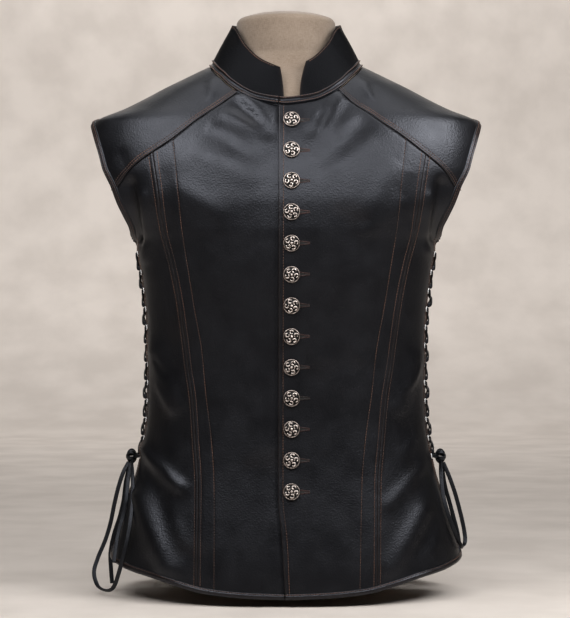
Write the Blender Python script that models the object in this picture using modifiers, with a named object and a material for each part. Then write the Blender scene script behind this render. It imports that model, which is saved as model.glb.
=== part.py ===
"""A medieval leather vest, laced at its sides, on the limbless dress form that carries it.

Every leather panel lies on one family of level rings, each a superellipse worked out from
the half width and the depths at its height. A place on it is a turn in degrees, counted
from the front centre towards the wearer's left, and a height over the hem datum.
Units are metres, +Z is up, the front faces -Y and the wearer's left is at +X.
"""

import math

import bmesh
import bpy
import numpy as np
from mathutils import Matrix, Vector

COLLECTION = "leather_vest_on_form"
CUTTERS = "eyelet_cutters"

# Height of the hem datum over the form's flat base, and the leather's thickness.
DATUM = 0.006
WALL = 0.0016
# Gaps at seams, at the yokes' edges, under the neck band, and under what lies on a panel.
SEAM_GAP = 0.0003
YOKE_GAP = 0.0006
NECK_GAP = 0.0008
LIE_GAP = 0.0013
HEM_LIE_GAP = 0.0011

# Squareness of the rings: 2 is an ellipse.
SQUARENESS = 2.3
# Steps over which slopes are taken: degrees of turn, metres of height, share of a rise.
TURN_STEP = 0.4
HEIGHT_STEP = 0.001
RISE_STEP = 0.01
# About how long a degree of turn is on the chest.
DEGREE_LENGTH = 0.003
# Points of a dense line, points between a route's own points, and rounds to settle a place.
LINE_POINTS = 90
NECK_POINTS = 60
CURVE_STEPS = 12
SETTLE_ROUNDS = 8
MERGE = 0.00001
LEAST_STEP = 0.001

# Pieces that each panel's grid is divided into, along its edges.
LOWER_ROWS = 14
FRONT_UPPER_ROWS = 4
BACK_UPPER_ROWS = 5
ARMPIT_COLUMNS = 3
FRONT_YOKE_COLUMNS = 3
SIDE_COLUMNS = 4
YOKE_COLUMNS = FRONT_YOKE_COLUMNS + SIDE_COLUMNS
YOKE_ROWS = 12
BACK_NECK_COLUMNS = 3
COLLAR_ROWS = 2

# Level rings of the vest's outer surface: height, half width, front depth, back depth.
RINGS = (
    (-0.020, 0.2400, 0.1540, 0.1520),
    (0.030, 0.2295, 0.1475, 0.1450),
    (0.060, 0.2220, 0.1420, 0.1400),
    (0.090, 0.2125, 0.1355, 0.1340),
    (0.120, 0.2030, 0.1290, 0.1270),
    (0.150, 0.1940, 0.1230, 0.1190),
    (0.180, 0.1875, 0.1185, 0.1110),
    (0.210, 0.1830, 0.1155, 0.1050),
    (0.240, 0.1810, 0.1140, 0.1010),
    (0.280, 0.1800, 0.1140, 0.0995),
    (0.320, 0.1805, 0.1160, 0.1020),
    (0.360, 0.1825, 0.1200, 0.1070),
    (0.400, 0.1870, 0.1255, 0.1130),
    (0.4445, 0.1965, 0.1300, 0.1190),
    (0.4627, 0.2080, 0.1315, 0.1210),
    (0.4887, 0.2310, 0.1315, 0.1230),
    (0.5147, 0.2455, 0.1290, 0.1240),
    (0.5407, 0.2545, 0.1245, 0.1235),
    (0.5667, 0.2560, 0.1180, 0.1210),
    (0.5920, 0.2525, 0.1095, 0.1160),
    (0.6000, 0.2500, 0.1060, 0.1140),
    (0.6187, 0.2090, 0.0980, 0.1070),
    (0.6317, 0.1830, 0.0920, 0.1010),
    (0.6447, 0.1586, 0.0850, 0.0940),
    (0.6577, 0.1320, 0.0775, 0.0860),
    (0.6707, 0.1050, 0.0690, 0.0770),
    (0.6770, 0.0905, 0.0650, 0.0725),
    (0.6920, 0.0800, 0.0590, 0.0650),
    (0.7050, 0.0740, 0.0560, 0.0610),
)

# Folds: side (+1 wearer's left), front (+1) or back (-1), x and height of both ends from
# the centre, rise of the crest (a trough is negative) and half spread across it.
FOLDS = (
    (-1, +1, 0.199, 0.514, 0.1885, 0.450, -0.0075, 0.0100),
    (+1, +1, 0.199, 0.514, 0.1885, 0.450, -0.0075, 0.0100),
    (-1, +1, 0.180, 0.500, 0.180, 0.425, 0.0022, 0.0075),
    (+1, +1, 0.180, 0.500, 0.182, 0.435, 0.0022, 0.0075),
    (-1, +1, 0.050, 0.628, 0.024, 0.596, 0.0030, 0.0085),
    (-1, +1, 0.060, 0.612, 0.042, 0.590, -0.0024, 0.0090),
    (+1, +1, 0.068, 0.626, 0.047, 0.584, 0.0030, 0.0085),
    (+1, +1, 0.098, 0.592, 0.052, 0.548, -0.0028, 0.0150),
    (-1, +1, 0.178, 0.120, 0.136, 0.040, 0.0065, 0.0140),
    (-1, +1, 0.160, 0.152, 0.124, 0.118, 0.0040, 0.0120),
    (+1, +1, 0.166, 0.146, 0.126, 0.116, 0.0045, 0.0130),
    (+1, +1, 0.170, 0.104, 0.130, 0.040, 0.0050, 0.0140),
    (-1, +1, 0.168, 0.306, 0.140, 0.240, 0.0030, 0.0120),
    (+1, +1, 0.168, 0.296, 0.142, 0.236, 0.0026, 0.0120),
    (-1, -1, 0.170, 0.110, 0.120, 0.045, 0.0050, 0.0150),
    (+1, -1, 0.165, 0.125, 0.118, 0.060, 0.0045, 0.0150),
    (-1, -1, 0.150, 0.250, 0.090, 0.215, 0.0030, 0.0140),
    (+1, -1, 0.155, 0.262, 0.100, 0.222, 0.0030, 0.0140),
)

# Lower edge of the neck band: turn, height.
NECK_SEAM = (
    (0.0, 0.6165),
    (4.0, 0.6190),
    (8.4, 0.6225),
    (13.7, 0.6296),
    (21.5, 0.6406),
    (33.8, 0.6543),
    (60.0, 0.6690),
    (90.0, 0.6750),
    (180.0, 0.6865),
)
# Front edge of the vest's shoulder yoke: x, height.
YOKE_FRONT = (
    (0.0728, 0.6287),
    (0.0871, 0.6166),
    (0.1120, 0.6008),
    (0.1444, 0.5779),
    (0.1715, 0.5573),
    (0.1920, 0.5415),
    (0.2065, 0.5262),
)
YOKE_NECK_TURN = 19.0
YOKE_FRONT_END = 0.506
# Height of the shaped seam's top, and of the line that parts a panel's two grids.
SEAM_TOP = 0.5573
SPLIT = 0.480
# First stations of a front from its middle, at the hem and at the neck.
FRONT_COLUMNS_X = (0.013, 0.034)
FRONT_COLUMNS_TURN = (10.8, 14.5)
# Back edge of the yoke: turn, height.
YOKE_BACK = ((151.0, 0.665), (144.0, 0.632), (135.0, 0.602), (127.0, 0.577))
YOKE_BACK_NECK_TURN = 152.0
YOKE_BACK_END = 0.535
# Shaped seam from the yoke to the hem: height, x.
SHAPED_SEAM = (
    (0.000, 0.1108),
    (0.0922, 0.1116),
    (0.1407, 0.1121),
    (0.1961, 0.1164),
    (0.2459, 0.1204),
    (0.2872, 0.1268),
    (0.3273, 0.1319),
    (0.3713, 0.1381),
    (0.4152, 0.1469),
    (0.4590, 0.1579),
    (0.5123, 0.1648),
    (0.5573, 0.1715),
)
# Edge of the wearer's left front, which laps over the right one: height, x.
LAP_EDGE = (
    (0.0000, -0.0006),
    (0.0517, -0.0037),
    (0.0937, -0.0068),
    (0.1240, -0.0096),
    (0.6200, -0.0088),
)
# The right front reaches this far under the left one, sunk by this much.
UNDERLAP_EDGE_X = 0.019
UNDERLAP_SINK = WALL + 0.0012
UNDERLAP_EASE = (-0.034, -0.013)

# Hem line: turn, height. It is the same on both sides.
HEM = (
    (0.0, 0.0037),
    (9.2, 0.0052),
    (22.0, 0.0096),
    (32.1, 0.0173),
    (44.8, 0.0263),
    (57.4, 0.0319),
    (70.2, 0.0370),
    (90.0, 0.0420),
    (110.0, 0.0350),
    (130.0, 0.0240),
    (150.0, 0.0130),
    (180.0, 0.0070),
)
HEM_CORNER = 0.013
HEM_SLIT = 0.0006
LACE_EDGE_Y = 0.014

# Armhole edge from the laced side up to the shoulder tip: depth from the middle, height.
ARMHOLE_FRONT = (
    (0.0140, 0.4535),
    (0.0340, 0.4590),
    (0.0515, 0.4720),
    (0.0628, 0.4885),
    (0.0659, 0.5120),
    (0.0592, 0.5407),
    (0.0520, 0.5600),
    (0.0400, 0.5780),
    (0.0220, 0.5920),
    (0.0000, 0.6000),
)
ARMHOLE_BACK = (
    (0.0140, 0.4535),
    (0.0360, 0.4590),
    (0.0550, 0.4720),
    (0.0660, 0.4885),
    (0.0700, 0.5120),
    (0.0650, 0.5407),
    (0.0570, 0.5600),
    (0.0430, 0.5780),
    (0.0240, 0.5920),
    (0.0000, 0.6000),
)

# Upper edge of the collar: plan angle from the front, height.
COLLAR_TOP = (
    (0.0, 0.661),
    (26.0, 0.676),
    (47.0, 0.697),
    (68.0, 0.722),
    (90.0, 0.729),
    (180.0, 0.735),
)
COLLAR_HALF_WIDTH = 0.070
COLLAR_FRONT = 0.085
COLLAR_BACK = 0.062
COLLAR_WALL = 0.0022
# Plan angles of the collar's two front ends at its foot and at its top.
COLLAR_END_RIGHT = (-1.5, -6.0)
COLLAR_END_LEFT = (10.3, 21.0)
NECK_BAND_HEIGHT = 0.007
NECK_BAND_PROUD = 0.0007
NECK_BAND_END = -5.3
NECK_BAND_SLIT = 0.25
COLLAR_END_EASE = 12.0
COLLAR_GAP = 0.0009

# The bands' leather, and how far an armhole band's three lines stand out from its edge.
BAND_WALL = 0.0010
BAND_CROWN = (0.0, 0.0014, 0.0012)
ARMHOLE_BAND_WIDTH = 0.009
HEM_BINDING_HEIGHT = 0.007

BUTTONS = 13
BUTTON_X = 0.0068
BUTTON_TOP = 0.5955
BUTTON_STEP = 0.0385
BUTTON_SIDES = 10
# Turned outline of a button: radius, height over the leather.
BUTTON_PROFILE = (
    (0.0000, 0.0059),
    (0.0078, 0.0046),
    (0.0098, 0.0051),
    (0.0107, 0.0036),
    (0.0096, 0.0024),
    (0.0026, 0.0020),
    (0.0026, 0.0003),
    (0.0000, 0.0003),
)
BUTTON_CROWN = BUTTON_PROFILE[0][1]

EYELET_ROWS = 12
EYELET_TOP = 0.431
EYELET_STEP = 0.0237
EYELET_Y = 0.023
EYELET_RADIUS = 0.0025
EYELET_SIDES = 8
CUTTER_DEPTH = 0.008
THONG_RADIUS = 0.0013

KNOT_HEIGHT = 0.167
KNOT_Y = -0.004
KNOT_OUT = 0.0105
KNOT_SIZE = (0.0055, 0.0080, 0.0075)
KNOT_SEGMENTS = (8, 6)

# Free ends of the laces beyond each knot: x, y, height over the base.
BOW_ROUTES = {
    "bow_loop_right": (
        (-0.2100, -0.0120, 0.1560),
        (-0.2160, -0.0150, 0.1380),
        (-0.2215, -0.0170, 0.1150),
        (-0.2265, -0.0190, 0.0900),
        (-0.2330, -0.0220, 0.0680),
        (-0.2420, -0.0260, 0.0460),
        (-0.2465, -0.0320, 0.0280),
        (-0.2410, -0.0400, 0.0120),
        (-0.2290, -0.0490, 0.0070),
        (-0.2190, -0.0610, 0.0130),
        (-0.2110, -0.0770, 0.0330),
        (-0.2040, -0.0790, 0.0600),
        (-0.1985, -0.0730, 0.0860),
        (-0.1960, -0.0620, 0.1120),
        (-0.1955, -0.0480, 0.1340),
        (-0.1975, -0.0300, 0.1580),
    ),
    "bow_tail_right": (
        (-0.2080, -0.0020, 0.1420),
        (-0.2110, -0.0020, 0.1180),
        (-0.2160, -0.0040, 0.0960),
        (-0.2230, -0.0060, 0.0740),
        (-0.2275, -0.0080, 0.0500),
        (-0.2265, -0.0100, 0.0280),
        (-0.2250, -0.0120, 0.0110),
    ),
    "bow_tail_right_short": (
        (-0.2035, -0.0230, 0.1460),
        (-0.2050, -0.0330, 0.1220),
        (-0.2090, -0.0370, 0.1010),
        (-0.2150, -0.0460, 0.0760),
        (-0.2185, -0.0610, 0.0440),
    ),
    "bow_loop_left": (
        (0.2110, -0.0100, 0.1500),
        (0.2180, -0.0130, 0.1300),
        (0.2240, -0.0150, 0.1080),
        (0.2290, -0.0170, 0.0860),
        (0.2310, -0.0210, 0.0690),
        (0.2275, -0.0280, 0.0600),
        (0.2225, -0.0380, 0.0660),
        (0.2140, -0.0440, 0.0850),
        (0.2060, -0.0430, 0.1080),
        (0.2010, -0.0360, 0.1300),
        (0.1995, -0.0240, 0.1560),
    ),
    "bow_tail_left": (
        (0.2065, -0.0005, 0.1370),
        (0.2120, -0.0010, 0.1170),
        (0.2175, -0.0030, 0.0960),
        (0.2220, -0.0060, 0.0780),
        (0.2245, -0.0080, 0.0630),
    ),
}
THONG_POINT_EVERY = 0.0095
# The lace's clearance off the leather, its lean through an eyelet, and how far out its two
# strands cross: the mean of the two and half of what parts them.
LACE_CLEAR = 0.0013
LACE_LEAN = 0.0006
CROSSING_OUT = 0.0043
CROSSING_SPREAD = 0.0017

# The form's clearance under the leather: height, clearance along the normal.
FORM_CLEARANCE = (
    (0.000, 0.0105),
    (0.560, 0.0105),
    (0.590, 0.0085),
    (0.612, 0.0062),
    (0.624, 0.0052),
    (0.638, WALL + 0.0011),
    (0.653, WALL + 0.0011),
    (0.664, 0.0050),
    (0.676, 0.0070),
)
# The form has no arms: its half width ends here, over this easing.
FORM_SIDE = 0.187
FORM_SIDE_EASE = 0.020
# Half width and half depth of the flat foot, and how it grows into the torso.
FORM_FOOT = (0.110, 0.056)
FORM_FOOT_SHARES = (0.0, 0.2, 0.45, 0.75)
FORM_FOOT_POWER = 0.75
# The form's neck: height, half width, half depth, centre y.
FORM_NECK = (
    (0.688, 0.0670, 0.0590, 0.0010),
    (0.705, 0.0645, 0.0585, 0.0000),
    (0.7295, 0.0640, 0.0580, 0.0000),
    (0.7345, 0.0600, 0.0540, 0.0000),
    (0.7385, 0.0440, 0.0395, 0.0000),
    (0.7410, 0.0220, 0.0200, 0.0000),
)
FORM_APEX = 0.742
# Heights of the torso's rings.
FORM_ROWS = (
    *(0.145, 0.190, 0.240, 0.290, 0.340, 0.390, 0.435, 0.475, 0.520),
    *(0.560, 0.585, 0.605, 0.622, 0.636, 0.648, 0.660, 0.671),
)
FORM_SIDES = 28

LEATHER = (0.0100, 0.0100, 0.0115, 1.0)
LEATHER_TRIM = (0.0080, 0.0078, 0.0085, 1.0)
THONG_LEATHER = (0.0060, 0.0065, 0.0090, 1.0)
PEWTER = (0.4200, 0.4000, 0.3600, 1.0)
LINEN = (0.3700, 0.2950, 0.2400, 1.0)


def smooth(at, rows, column=1):
    """Reads a table's column at the given keys along a monotone cubic."""
    keys = np.array([row[0] for row in rows])
    values = np.array([row[column] for row in rows])
    step = np.diff(keys)
    slope = np.diff(values) / step
    tangent = np.empty(len(keys))
    tangent[0], tangent[-1] = slope[0], slope[-1]
    product = slope[:-1] * slope[1:]
    first = 2 * step[1:] + step[:-1]
    second = step[1:] + 2 * step[:-1]
    with np.errstate(divide="ignore", invalid="ignore"):
        mean = (first + second) / (first / slope[:-1] + second / slope[1:])
    tangent[1:-1] = np.where(product > 0, mean, 0.0)
    at = np.asarray(at, float)
    place = np.clip(np.searchsorted(keys, at) - 1, 0, len(step) - 1)
    t = (at - keys[place]) / step[place]
    rise = step[place]
    return (
        (1 + 2 * t) * (1 - t) ** 2 * values[place]
        + t * (1 - t) ** 2 * rise * tangent[place]
        + t * t * (3 - 2 * t) * values[place + 1]
        + t * t * (t - 1) * rise * tangent[place + 1]
    )


def signed_power(value, power):
    """A power that keeps its base's sign."""
    return np.sign(value) * np.abs(value) ** power


def wrapped(angle):
    """Angles in degrees brought to the range from -180 to 180."""
    return (np.asarray(angle, float) + 180) % 360 - 180


def ring_point(turn, height):
    """The plain outer surface at a turn in degrees and a height over the datum."""
    turn, height = np.broadcast_arrays(np.radians(turn), np.asarray(height, float))
    half = smooth(height, RINGS, 1)
    depth = np.where(np.cos(turn) >= 0, smooth(height, RINGS, 2), smooth(height, RINGS, 3))
    x = half * signed_power(np.sin(turn), 2 / SQUARENESS)
    y = -depth * signed_power(np.cos(turn), 2 / SQUARENESS)
    return np.stack([x, y, height + DATUM], axis=-1)


def ring_slopes(turn, height):
    """How the plain surface moves with each degree of turn and each metre of height."""
    along = ring_point(turn + TURN_STEP, height) - ring_point(turn - TURN_STEP, height)
    up = ring_point(turn, height + HEIGHT_STEP) - ring_point(turn, height - HEIGHT_STEP)
    return along / (2 * TURN_STEP), up / (2 * HEIGHT_STEP)


def ring_normal(turn, height):
    """The outward normal of the plain surface."""
    along, up = ring_slopes(turn, height)
    normal = np.cross(along, up)
    return normal / np.linalg.norm(normal, axis=-1, keepdims=True)


def fold_rise(point):
    """How far the folds lift the leather at a place on the plain surface."""
    x, y, height = point[..., 0], point[..., 1], point[..., 2] - DATUM
    rise = np.zeros(x.shape)
    for side, face, x0, z0, x1, z1, crest, spread in FOLDS:
        run, drop = side * (x1 - x0), z1 - z0
        reach = ((x - side * x0) * run + (height - z0) * drop) / (run * run + drop * drop)
        reach = np.clip(reach, 0, 1)
        away = np.hypot(x - side * x0 - reach * run, height - z0 - reach * drop)
        facing = np.where(face * y < 0, 1.0, 0.0)
        rise += crest * facing * np.exp(-((away / spread) ** 2))
    return rise


def leather_point(turn, height, sink=False):
    """The folded outer surface, sunk near the centre where a lap covers it."""
    point = ring_point(turn, height)
    lift = fold_rise(point)
    if sink:
        start, end = UNDERLAP_EASE
        t = np.clip((point[..., 0] - start) / (end - start), 0, 1)
        lift = lift - UNDERLAP_SINK * t * t * (3 - 2 * t)
    return point + ring_normal(turn, height) * lift[..., None]


def turn_at_x(x, height):
    """The front turn at which a ring reaches x."""
    share = np.clip(np.abs(x) / smooth(height, RINGS, 1), 0, 1)
    return np.sign(x) * np.degrees(np.arcsin(share ** (SQUARENESS / 2)))


def turn_at_depth(depth, height, face):
    """The turn on the +X side at a distance from the middle, on the front (+1) or back (-1)."""
    reach = smooth(height, RINGS, 2 if face > 0 else 3)
    turn = np.degrees(np.arccos(np.clip(depth / reach, 0, 1) ** (SQUARENESS / 2)))
    return turn if face > 0 else 180 - turn


def resample(line, pieces, last=None):
    """Ends of even pieces along a line of turns and heights, the last one of a given length."""
    line = np.asarray(line, float)
    solid = ring_point(line[:, 0], line[:, 1])
    length = np.concatenate([[0], np.cumsum(np.linalg.norm(np.diff(solid, axis=0), axis=1))])
    at = np.linspace(0, length[-1], pieces + 1)
    if last is not None:
        at = np.append(np.linspace(0, length[-1] - last, pieces), length[-1])
    return np.stack([np.interp(at, length, line[:, k]) for k in (0, 1)], axis=1)


def curved(points, count=LINE_POINTS):
    """A dense smooth line through a few points given as pairs."""
    rows = [(key, *point) for key, point in enumerate(points)]
    at = np.linspace(0, len(points) - 1, count)
    return np.stack([smooth(at, rows, 1), smooth(at, rows, 2)], axis=1)


def between(line, low, high):
    """The stretch of a rising line between two heights, with its ends on them."""
    height = line[:, 1]
    inner = line[(height > low) & (height < high)]
    ends = [(np.interp(z, height, line[:, 0]), z) for z in (low, high)]
    return np.vstack([ends[0], inner, ends[1]])


def shifted(line, distance):
    """A line of turns and heights moved sideways on the surface, to its left when positive."""
    turn, height = line[:, 0], line[:, 1]
    path = ring_point(turn, height)
    tangent = np.gradient(path, axis=0)
    tangent /= np.linalg.norm(tangent, axis=1, keepdims=True)
    across = np.cross(ring_normal(turn, height), tangent) * distance
    along, up = ring_slopes(turn, height)
    moves = [
        np.linalg.lstsq(np.stack([a, b], axis=1), move, rcond=None)[0]
        for a, b, move in zip(along, up, across)
    ]
    return line + np.array(moves)


def hem_height(turn):
    """The hem's height at a turn, with the rounded corners at the laced side."""
    turn = np.abs(wrapped(turn))
    base = smooth(turn, HEM)
    edge = np.abs(ring_point(turn, base)[..., 1])
    room = np.clip(HEM_CORNER - (edge - LACE_EDGE_Y), 0, HEM_CORNER)
    return base + HEM_CORNER - np.sqrt(HEM_CORNER**2 - room**2)


def hem_line(start, end, count=LINE_POINTS):
    """The hem between two turns."""
    turns = np.linspace(start, end, count)
    return np.stack([turns, hem_height(turns)], axis=1)


def neck_height(turn):
    """The height of the panels' edge under the neck band."""
    return smooth(np.abs(wrapped(turn)), NECK_SEAM) - NECK_GAP


def neck_line(start, end, count=NECK_POINTS):
    """The panels' edge under the neck band between two turns."""
    turns = np.linspace(start, end, count)
    return np.stack([turns, neck_height(turns)], axis=1)


def lacing_foot(face):
    """The turn where the laced edge meets the hem's rounded corner."""
    turn = 90.0
    for _ in range(SETTLE_ROUNDS):
        turn = float(turn_at_depth(LACE_EDGE_Y, hem_height(turn), face))
    return turn


def armhole_line(face):
    """The armhole's edge from the lacing up to the shoulder tip, as turns and heights."""
    line = curved(ARMHOLE_FRONT if face > 0 else ARMHOLE_BACK)
    return np.stack([turn_at_depth(line[:, 0], line[:, 1], face), line[:, 1]], axis=1)


def laced_edge(face):
    """Stations up a side's laced edge, from the hem to the armhole's corner."""
    foot = lacing_foot(face)
    heights = np.linspace(float(hem_height(foot)), ARMHOLE_FRONT[0][1], LOWER_ROWS + 1)
    return np.stack([turn_at_depth(LACE_EDGE_Y, heights, face), heights], axis=1)


def armpit_edge(face):
    """Stations of the armhole's lower part, from the laced side to the height of the split."""
    line = armhole_line(face)
    return resample(between(line, line[0, 1], SPLIT), ARMPIT_COLUMNS)


def armhole_side(face):
    """Stations of the armhole's edge from the height of the split up to the yoke."""
    top, rows = (YOKE_FRONT_END, FRONT_UPPER_ROWS) if face > 0 else (YOKE_BACK_END, BACK_UPPER_ROWS)
    return resample(between(armhole_line(face), SPLIT, top), rows)


def yoke_front_edge():
    """Stations of the yoke's front edge: the neck, the shaped seam and the armhole."""
    inner = [(float(turn_at_x(x, z)), z) for x, z in YOKE_FRONT]
    armhole = armhole_line(+1)
    end = (float(np.interp(YOKE_FRONT_END, armhole[:, 1], armhole[:, 0])), YOKE_FRONT_END)
    start = (YOKE_NECK_TURN, float(neck_height(YOKE_NECK_TURN)))
    line = curved([start, *inner, end])[::-1]
    low = between(line, YOKE_FRONT_END, SEAM_TOP)[::-1]
    high = between(line, SEAM_TOP, start[1])[::-1]
    low = resample(low, SIDE_COLUMNS, ARMHOLE_BAND_WIDTH)
    return np.vstack([resample(high, FRONT_YOKE_COLUMNS)[:-1], low])


def yoke_back_edge():
    """Stations of the yoke's back edge from the neck to the armhole."""
    armhole = armhole_line(-1)
    end = (float(np.interp(YOKE_BACK_END, armhole[:, 1], armhole[:, 0])), YOKE_BACK_END)
    start = (YOKE_BACK_NECK_TURN, float(neck_height(YOKE_BACK_NECK_TURN)))
    return resample(curved([start, *YOKE_BACK, end]), YOKE_COLUMNS, ARMHOLE_BAND_WIDTH)


def split_heights(low, high, upper_rows):
    """Heights of the stations of a line that runs from the hem to the panel's top."""
    below = np.linspace(low, SPLIT, LOWER_ROWS + 1)
    return np.concatenate([below[:-1], np.linspace(SPLIT, high, upper_rows + 1)])


def shaped_seam():
    """Stations of the shaped seam from the hem up to the yoke."""
    foot = 0.0
    for _ in range(SETTLE_ROUNDS):
        foot = float(hem_height(turn_at_x(smooth(foot, SHAPED_SEAM), foot)))
    heights = split_heights(foot, SEAM_TOP, FRONT_UPPER_ROWS)
    return np.stack([turn_at_x(smooth(heights, SHAPED_SEAM), heights), heights], axis=1)


def neck_stations():
    """Stations of the neck seam on the +X side: before, over and behind the shoulder."""
    level = NECK_SEAM[1][1]
    turns = [*turn_at_x(np.array(FRONT_COLUMNS_X), level), *FRONT_COLUMNS_TURN]
    front = np.stack([turns, neck_height(turns)], axis=1)
    over = resample(neck_line(YOKE_NECK_TURN, YOKE_BACK_NECK_TURN), YOKE_ROWS)
    back = resample(neck_line(YOKE_BACK_NECK_TURN, 180.0), BACK_NECK_COLUMNS)
    return front, over, back


def shares(first, second):
    """The mean share of their own length at which two lines' stations stand."""
    found = []
    for line in (first, second):
        step = np.hypot(*(np.diff(line, axis=0) * (DEGREE_LENGTH, 1)).T)
        length = np.concatenate([[0], np.cumsum(step)])
        found.append(length / length[-1])
    return np.mean(found, axis=0)


def coons(left, right, bottom, top):
    """Fills four edge lines with a grid of turns and heights, rows from the bottom up."""
    left, right = left.copy(), right.copy()
    left[0], left[-1], right[0], right[-1] = bottom[0], top[0], bottom[-1], top[-1]
    v = shares(left, right)[:, None, None]
    u = shares(bottom, top)[None, :, None]
    across = (1 - u) * left[:, None] + u * right[:, None]
    upward = (1 - v) * bottom[None] + v * top[None]
    low = (1 - u) * bottom[0] + u * bottom[-1]
    high = (1 - u) * top[0] + u * top[-1]
    return across + upward - (1 - v) * low - v * high


def quads_of(index):
    """The quads of a grid of point numbers, each turned outwards."""
    quads = np.stack([index[:-1, :-1], index[:-1, 1:], index[1:, 1:], index[1:, :-1]], axis=-1)
    return quads.reshape(-1, 4)


def unit(vectors):
    """Vectors scaled to length one."""
    return vectors / np.linalg.norm(vectors, axis=-1, keepdims=True)


class Sheet:
    """A panel's outer face, from whose points whatever lies on it is made.

    It holds one grid of turns and heights, or two, where the upper one starts on a stretch
    of the lower one's last row.
    """

    def __init__(self, grid, side=1, sink=False, upper=None, start=0):
        grids = [np.arange(grid[..., 0].size).reshape(grid.shape[:2])]
        places = grid.reshape(-1, 2)
        if upper is not None:
            shared = grids[0][-1, start : start + upper.shape[1]]
            fresh = len(places) + np.arange(upper[1:, :, 0].size).reshape(upper.shape[0] - 1, -1)
            grids.append(np.vstack([shared, fresh]))
            places = np.vstack([places, upper[1:].reshape(-1, 2)])
        if side < 0:
            grids = [index[:, ::-1] for index in grids]
        self.lowest = grids[0][:2]
        self.places = places * (side, 1)
        self.points = leather_point(self.places[:, 0], self.places[:, 1], sink)
        self.quads = np.vstack([quads_of(index) for index in grids])
        if side > 0:
            self.quads = np.roll(self.quads, 1, axis=1)
        self.triangles = np.vstack([self.quads[:, [0, 1, 2]], self.quads[:, [0, 2, 3]]])
        corners = self.points[self.quads]
        facing = unit(np.cross(corners[:, 2] - corners[:, 0], corners[:, 3] - corners[:, 1]))
        normals = np.zeros_like(self.points)
        for corner in range(4):
            np.add.at(normals, self.quads[:, corner], facing)
        self.normals = unit(normals)

    def find(self, turn, height):
        """The place of a turn and a height on the face, its normal, and how far inside it is."""
        turn = turn + 360 * round((self.places[:, 0].mean() - turn) / 360)
        corners = self.places[self.triangles] * (DEGREE_LENGTH, 1)
        target = np.array([turn * DEGREE_LENGTH, height])
        a, b, c = corners[:, 0], corners[:, 1], corners[:, 2]
        area = np.cross(b - a, c - a)
        one = np.cross(b - target, c - target) / area
        two = np.cross(c - target, a - target) / area
        weights = np.stack([one, two, 1 - one - two], axis=1)
        best = int(np.argmax(weights.min(axis=1)))
        chosen = self.triangles[best]
        point = weights[best] @ self.points[chosen]
        normal = weights[best] @ self.normals[chosen]
        return weights[best].min(), point, unit(normal)

    def hem(self):
        """Points and normals along the face's lower edge and along the next line over it."""
        return np.concatenate([self.points[self.lowest], self.normals[self.lowest]], axis=-1)


def on_sheets(sheets, line, out):
    """Points at a distance out from the panels' faces, over a line of turns and heights."""
    placed = []
    for turn, height in line:
        _, point, normal = max((sheet.find(turn, height) for sheet in sheets), key=lambda f: f[0])
        placed.append(point + normal * out)
    return np.array(placed)


def shortened(border, x):
    """A hem border that ends on the panel's own chord at x."""
    place = int(np.argmax(border[0, :, 0] > x))
    before, after = border[:, place - 1], border[:, place]
    share = (x - before[0, 0]) / (after[0, 0] - before[0, 0])
    return np.concatenate([border[:, :place], (before + (after - before) * share)[:, None]], axis=1)


def new_object(name, data, material=None):
    """Puts a mesh or a curve in the vest's collection under its node's name."""
    if material is not None:
        data.materials.append(material)
    obj = bpy.data.objects.new(name, data)
    bpy.data.collections[COLLECTION].objects.link(obj)
    return obj


def strip(name, points, thickness, material):
    """A walled sheet through one grid of points."""
    index = np.arange(points[..., 0].size).reshape(points.shape[:2])
    return walled(name, points.reshape(-1, 3), quads_of(index), thickness, material)


def walled(name, points, quads, thickness, material):
    """An open sheet of quads with its wall inwards from it."""
    mesh = bpy.data.meshes.new(name)
    mesh.from_pydata(points.tolist(), [], quads.tolist())
    obj = new_object(name, mesh, material)
    wall = obj.modifiers.new("wall", "SOLIDIFY")
    wall.thickness = thickness
    wall.offset = -1.0
    return obj


def front_sheet(side, edge_x):
    """One front, from its centre edge to the shaped seam, under the neck band and the yoke."""
    yoke = shifted(yoke_front_edge(), -YOKE_GAP)[: FRONT_YOKE_COLUMNS + 1]
    seam = shifted(shaped_seam(), SEAM_GAP / 2)
    ends = float(hem_height(0.0)), float(neck_height(0.0))
    heights = split_heights(*ends, FRONT_UPPER_ROWS)
    centre = np.stack([turn_at_x(edge_x(heights), heights), heights], axis=1)
    start = centre[-1:, 0]
    neck = np.stack([start, neck_height(start)], axis=1)
    top = np.vstack([neck, neck_stations()[0], yoke])
    top[-1] = (seam[-1, 0], top[-1, 1])
    first = turn_at_x(np.array(FRONT_COLUMNS_X), HEM[0][1])
    near = np.stack([first, hem_height(first)], axis=1)
    far = resample(hem_line(first[-1], seam[0, 0]), len(top) - 1 - len(first))
    bottom = np.vstack([centre[:1], near[:-1], far])
    return Sheet(coons(centre, seam, bottom, top), side, sink=side < 0)


def side_sheet(side):
    """The front's side piece, from the shaped seam to the laced edge and the armhole."""
    yoke = shifted(yoke_front_edge(), -YOKE_GAP)[FRONT_YOKE_COLUMNS:]
    seam = shifted(shaped_seam(), -SEAM_GAP / 2)
    yoke[0] = (seam[-1, 0], yoke[0, 1])
    edge, armpit = laced_edge(+1), armpit_edge(+1)[::-1]
    hem = resample(hem_line(seam[0, 0], edge[0, 0]), SIDE_COLUMNS + ARMPIT_COLUMNS)
    across = np.linspace(seam[LOWER_ROWS], armpit[0], SIDE_COLUMNS + 1)
    lower = coons(seam[: LOWER_ROWS + 1], edge, hem, np.vstack([across[:-1], armpit]))
    upper = coons(seam[LOWER_ROWS:], armhole_side(+1), across, yoke)
    return Sheet(lower, side, upper=upper)


def yoke_sheet(side):
    """The shoulder yoke, from the neck band to the armhole and over to the back."""
    front, back = yoke_front_edge(), yoke_back_edge()
    return Sheet(coons(neck_stations()[1], shoulder_edge(), front, back), side)


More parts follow.
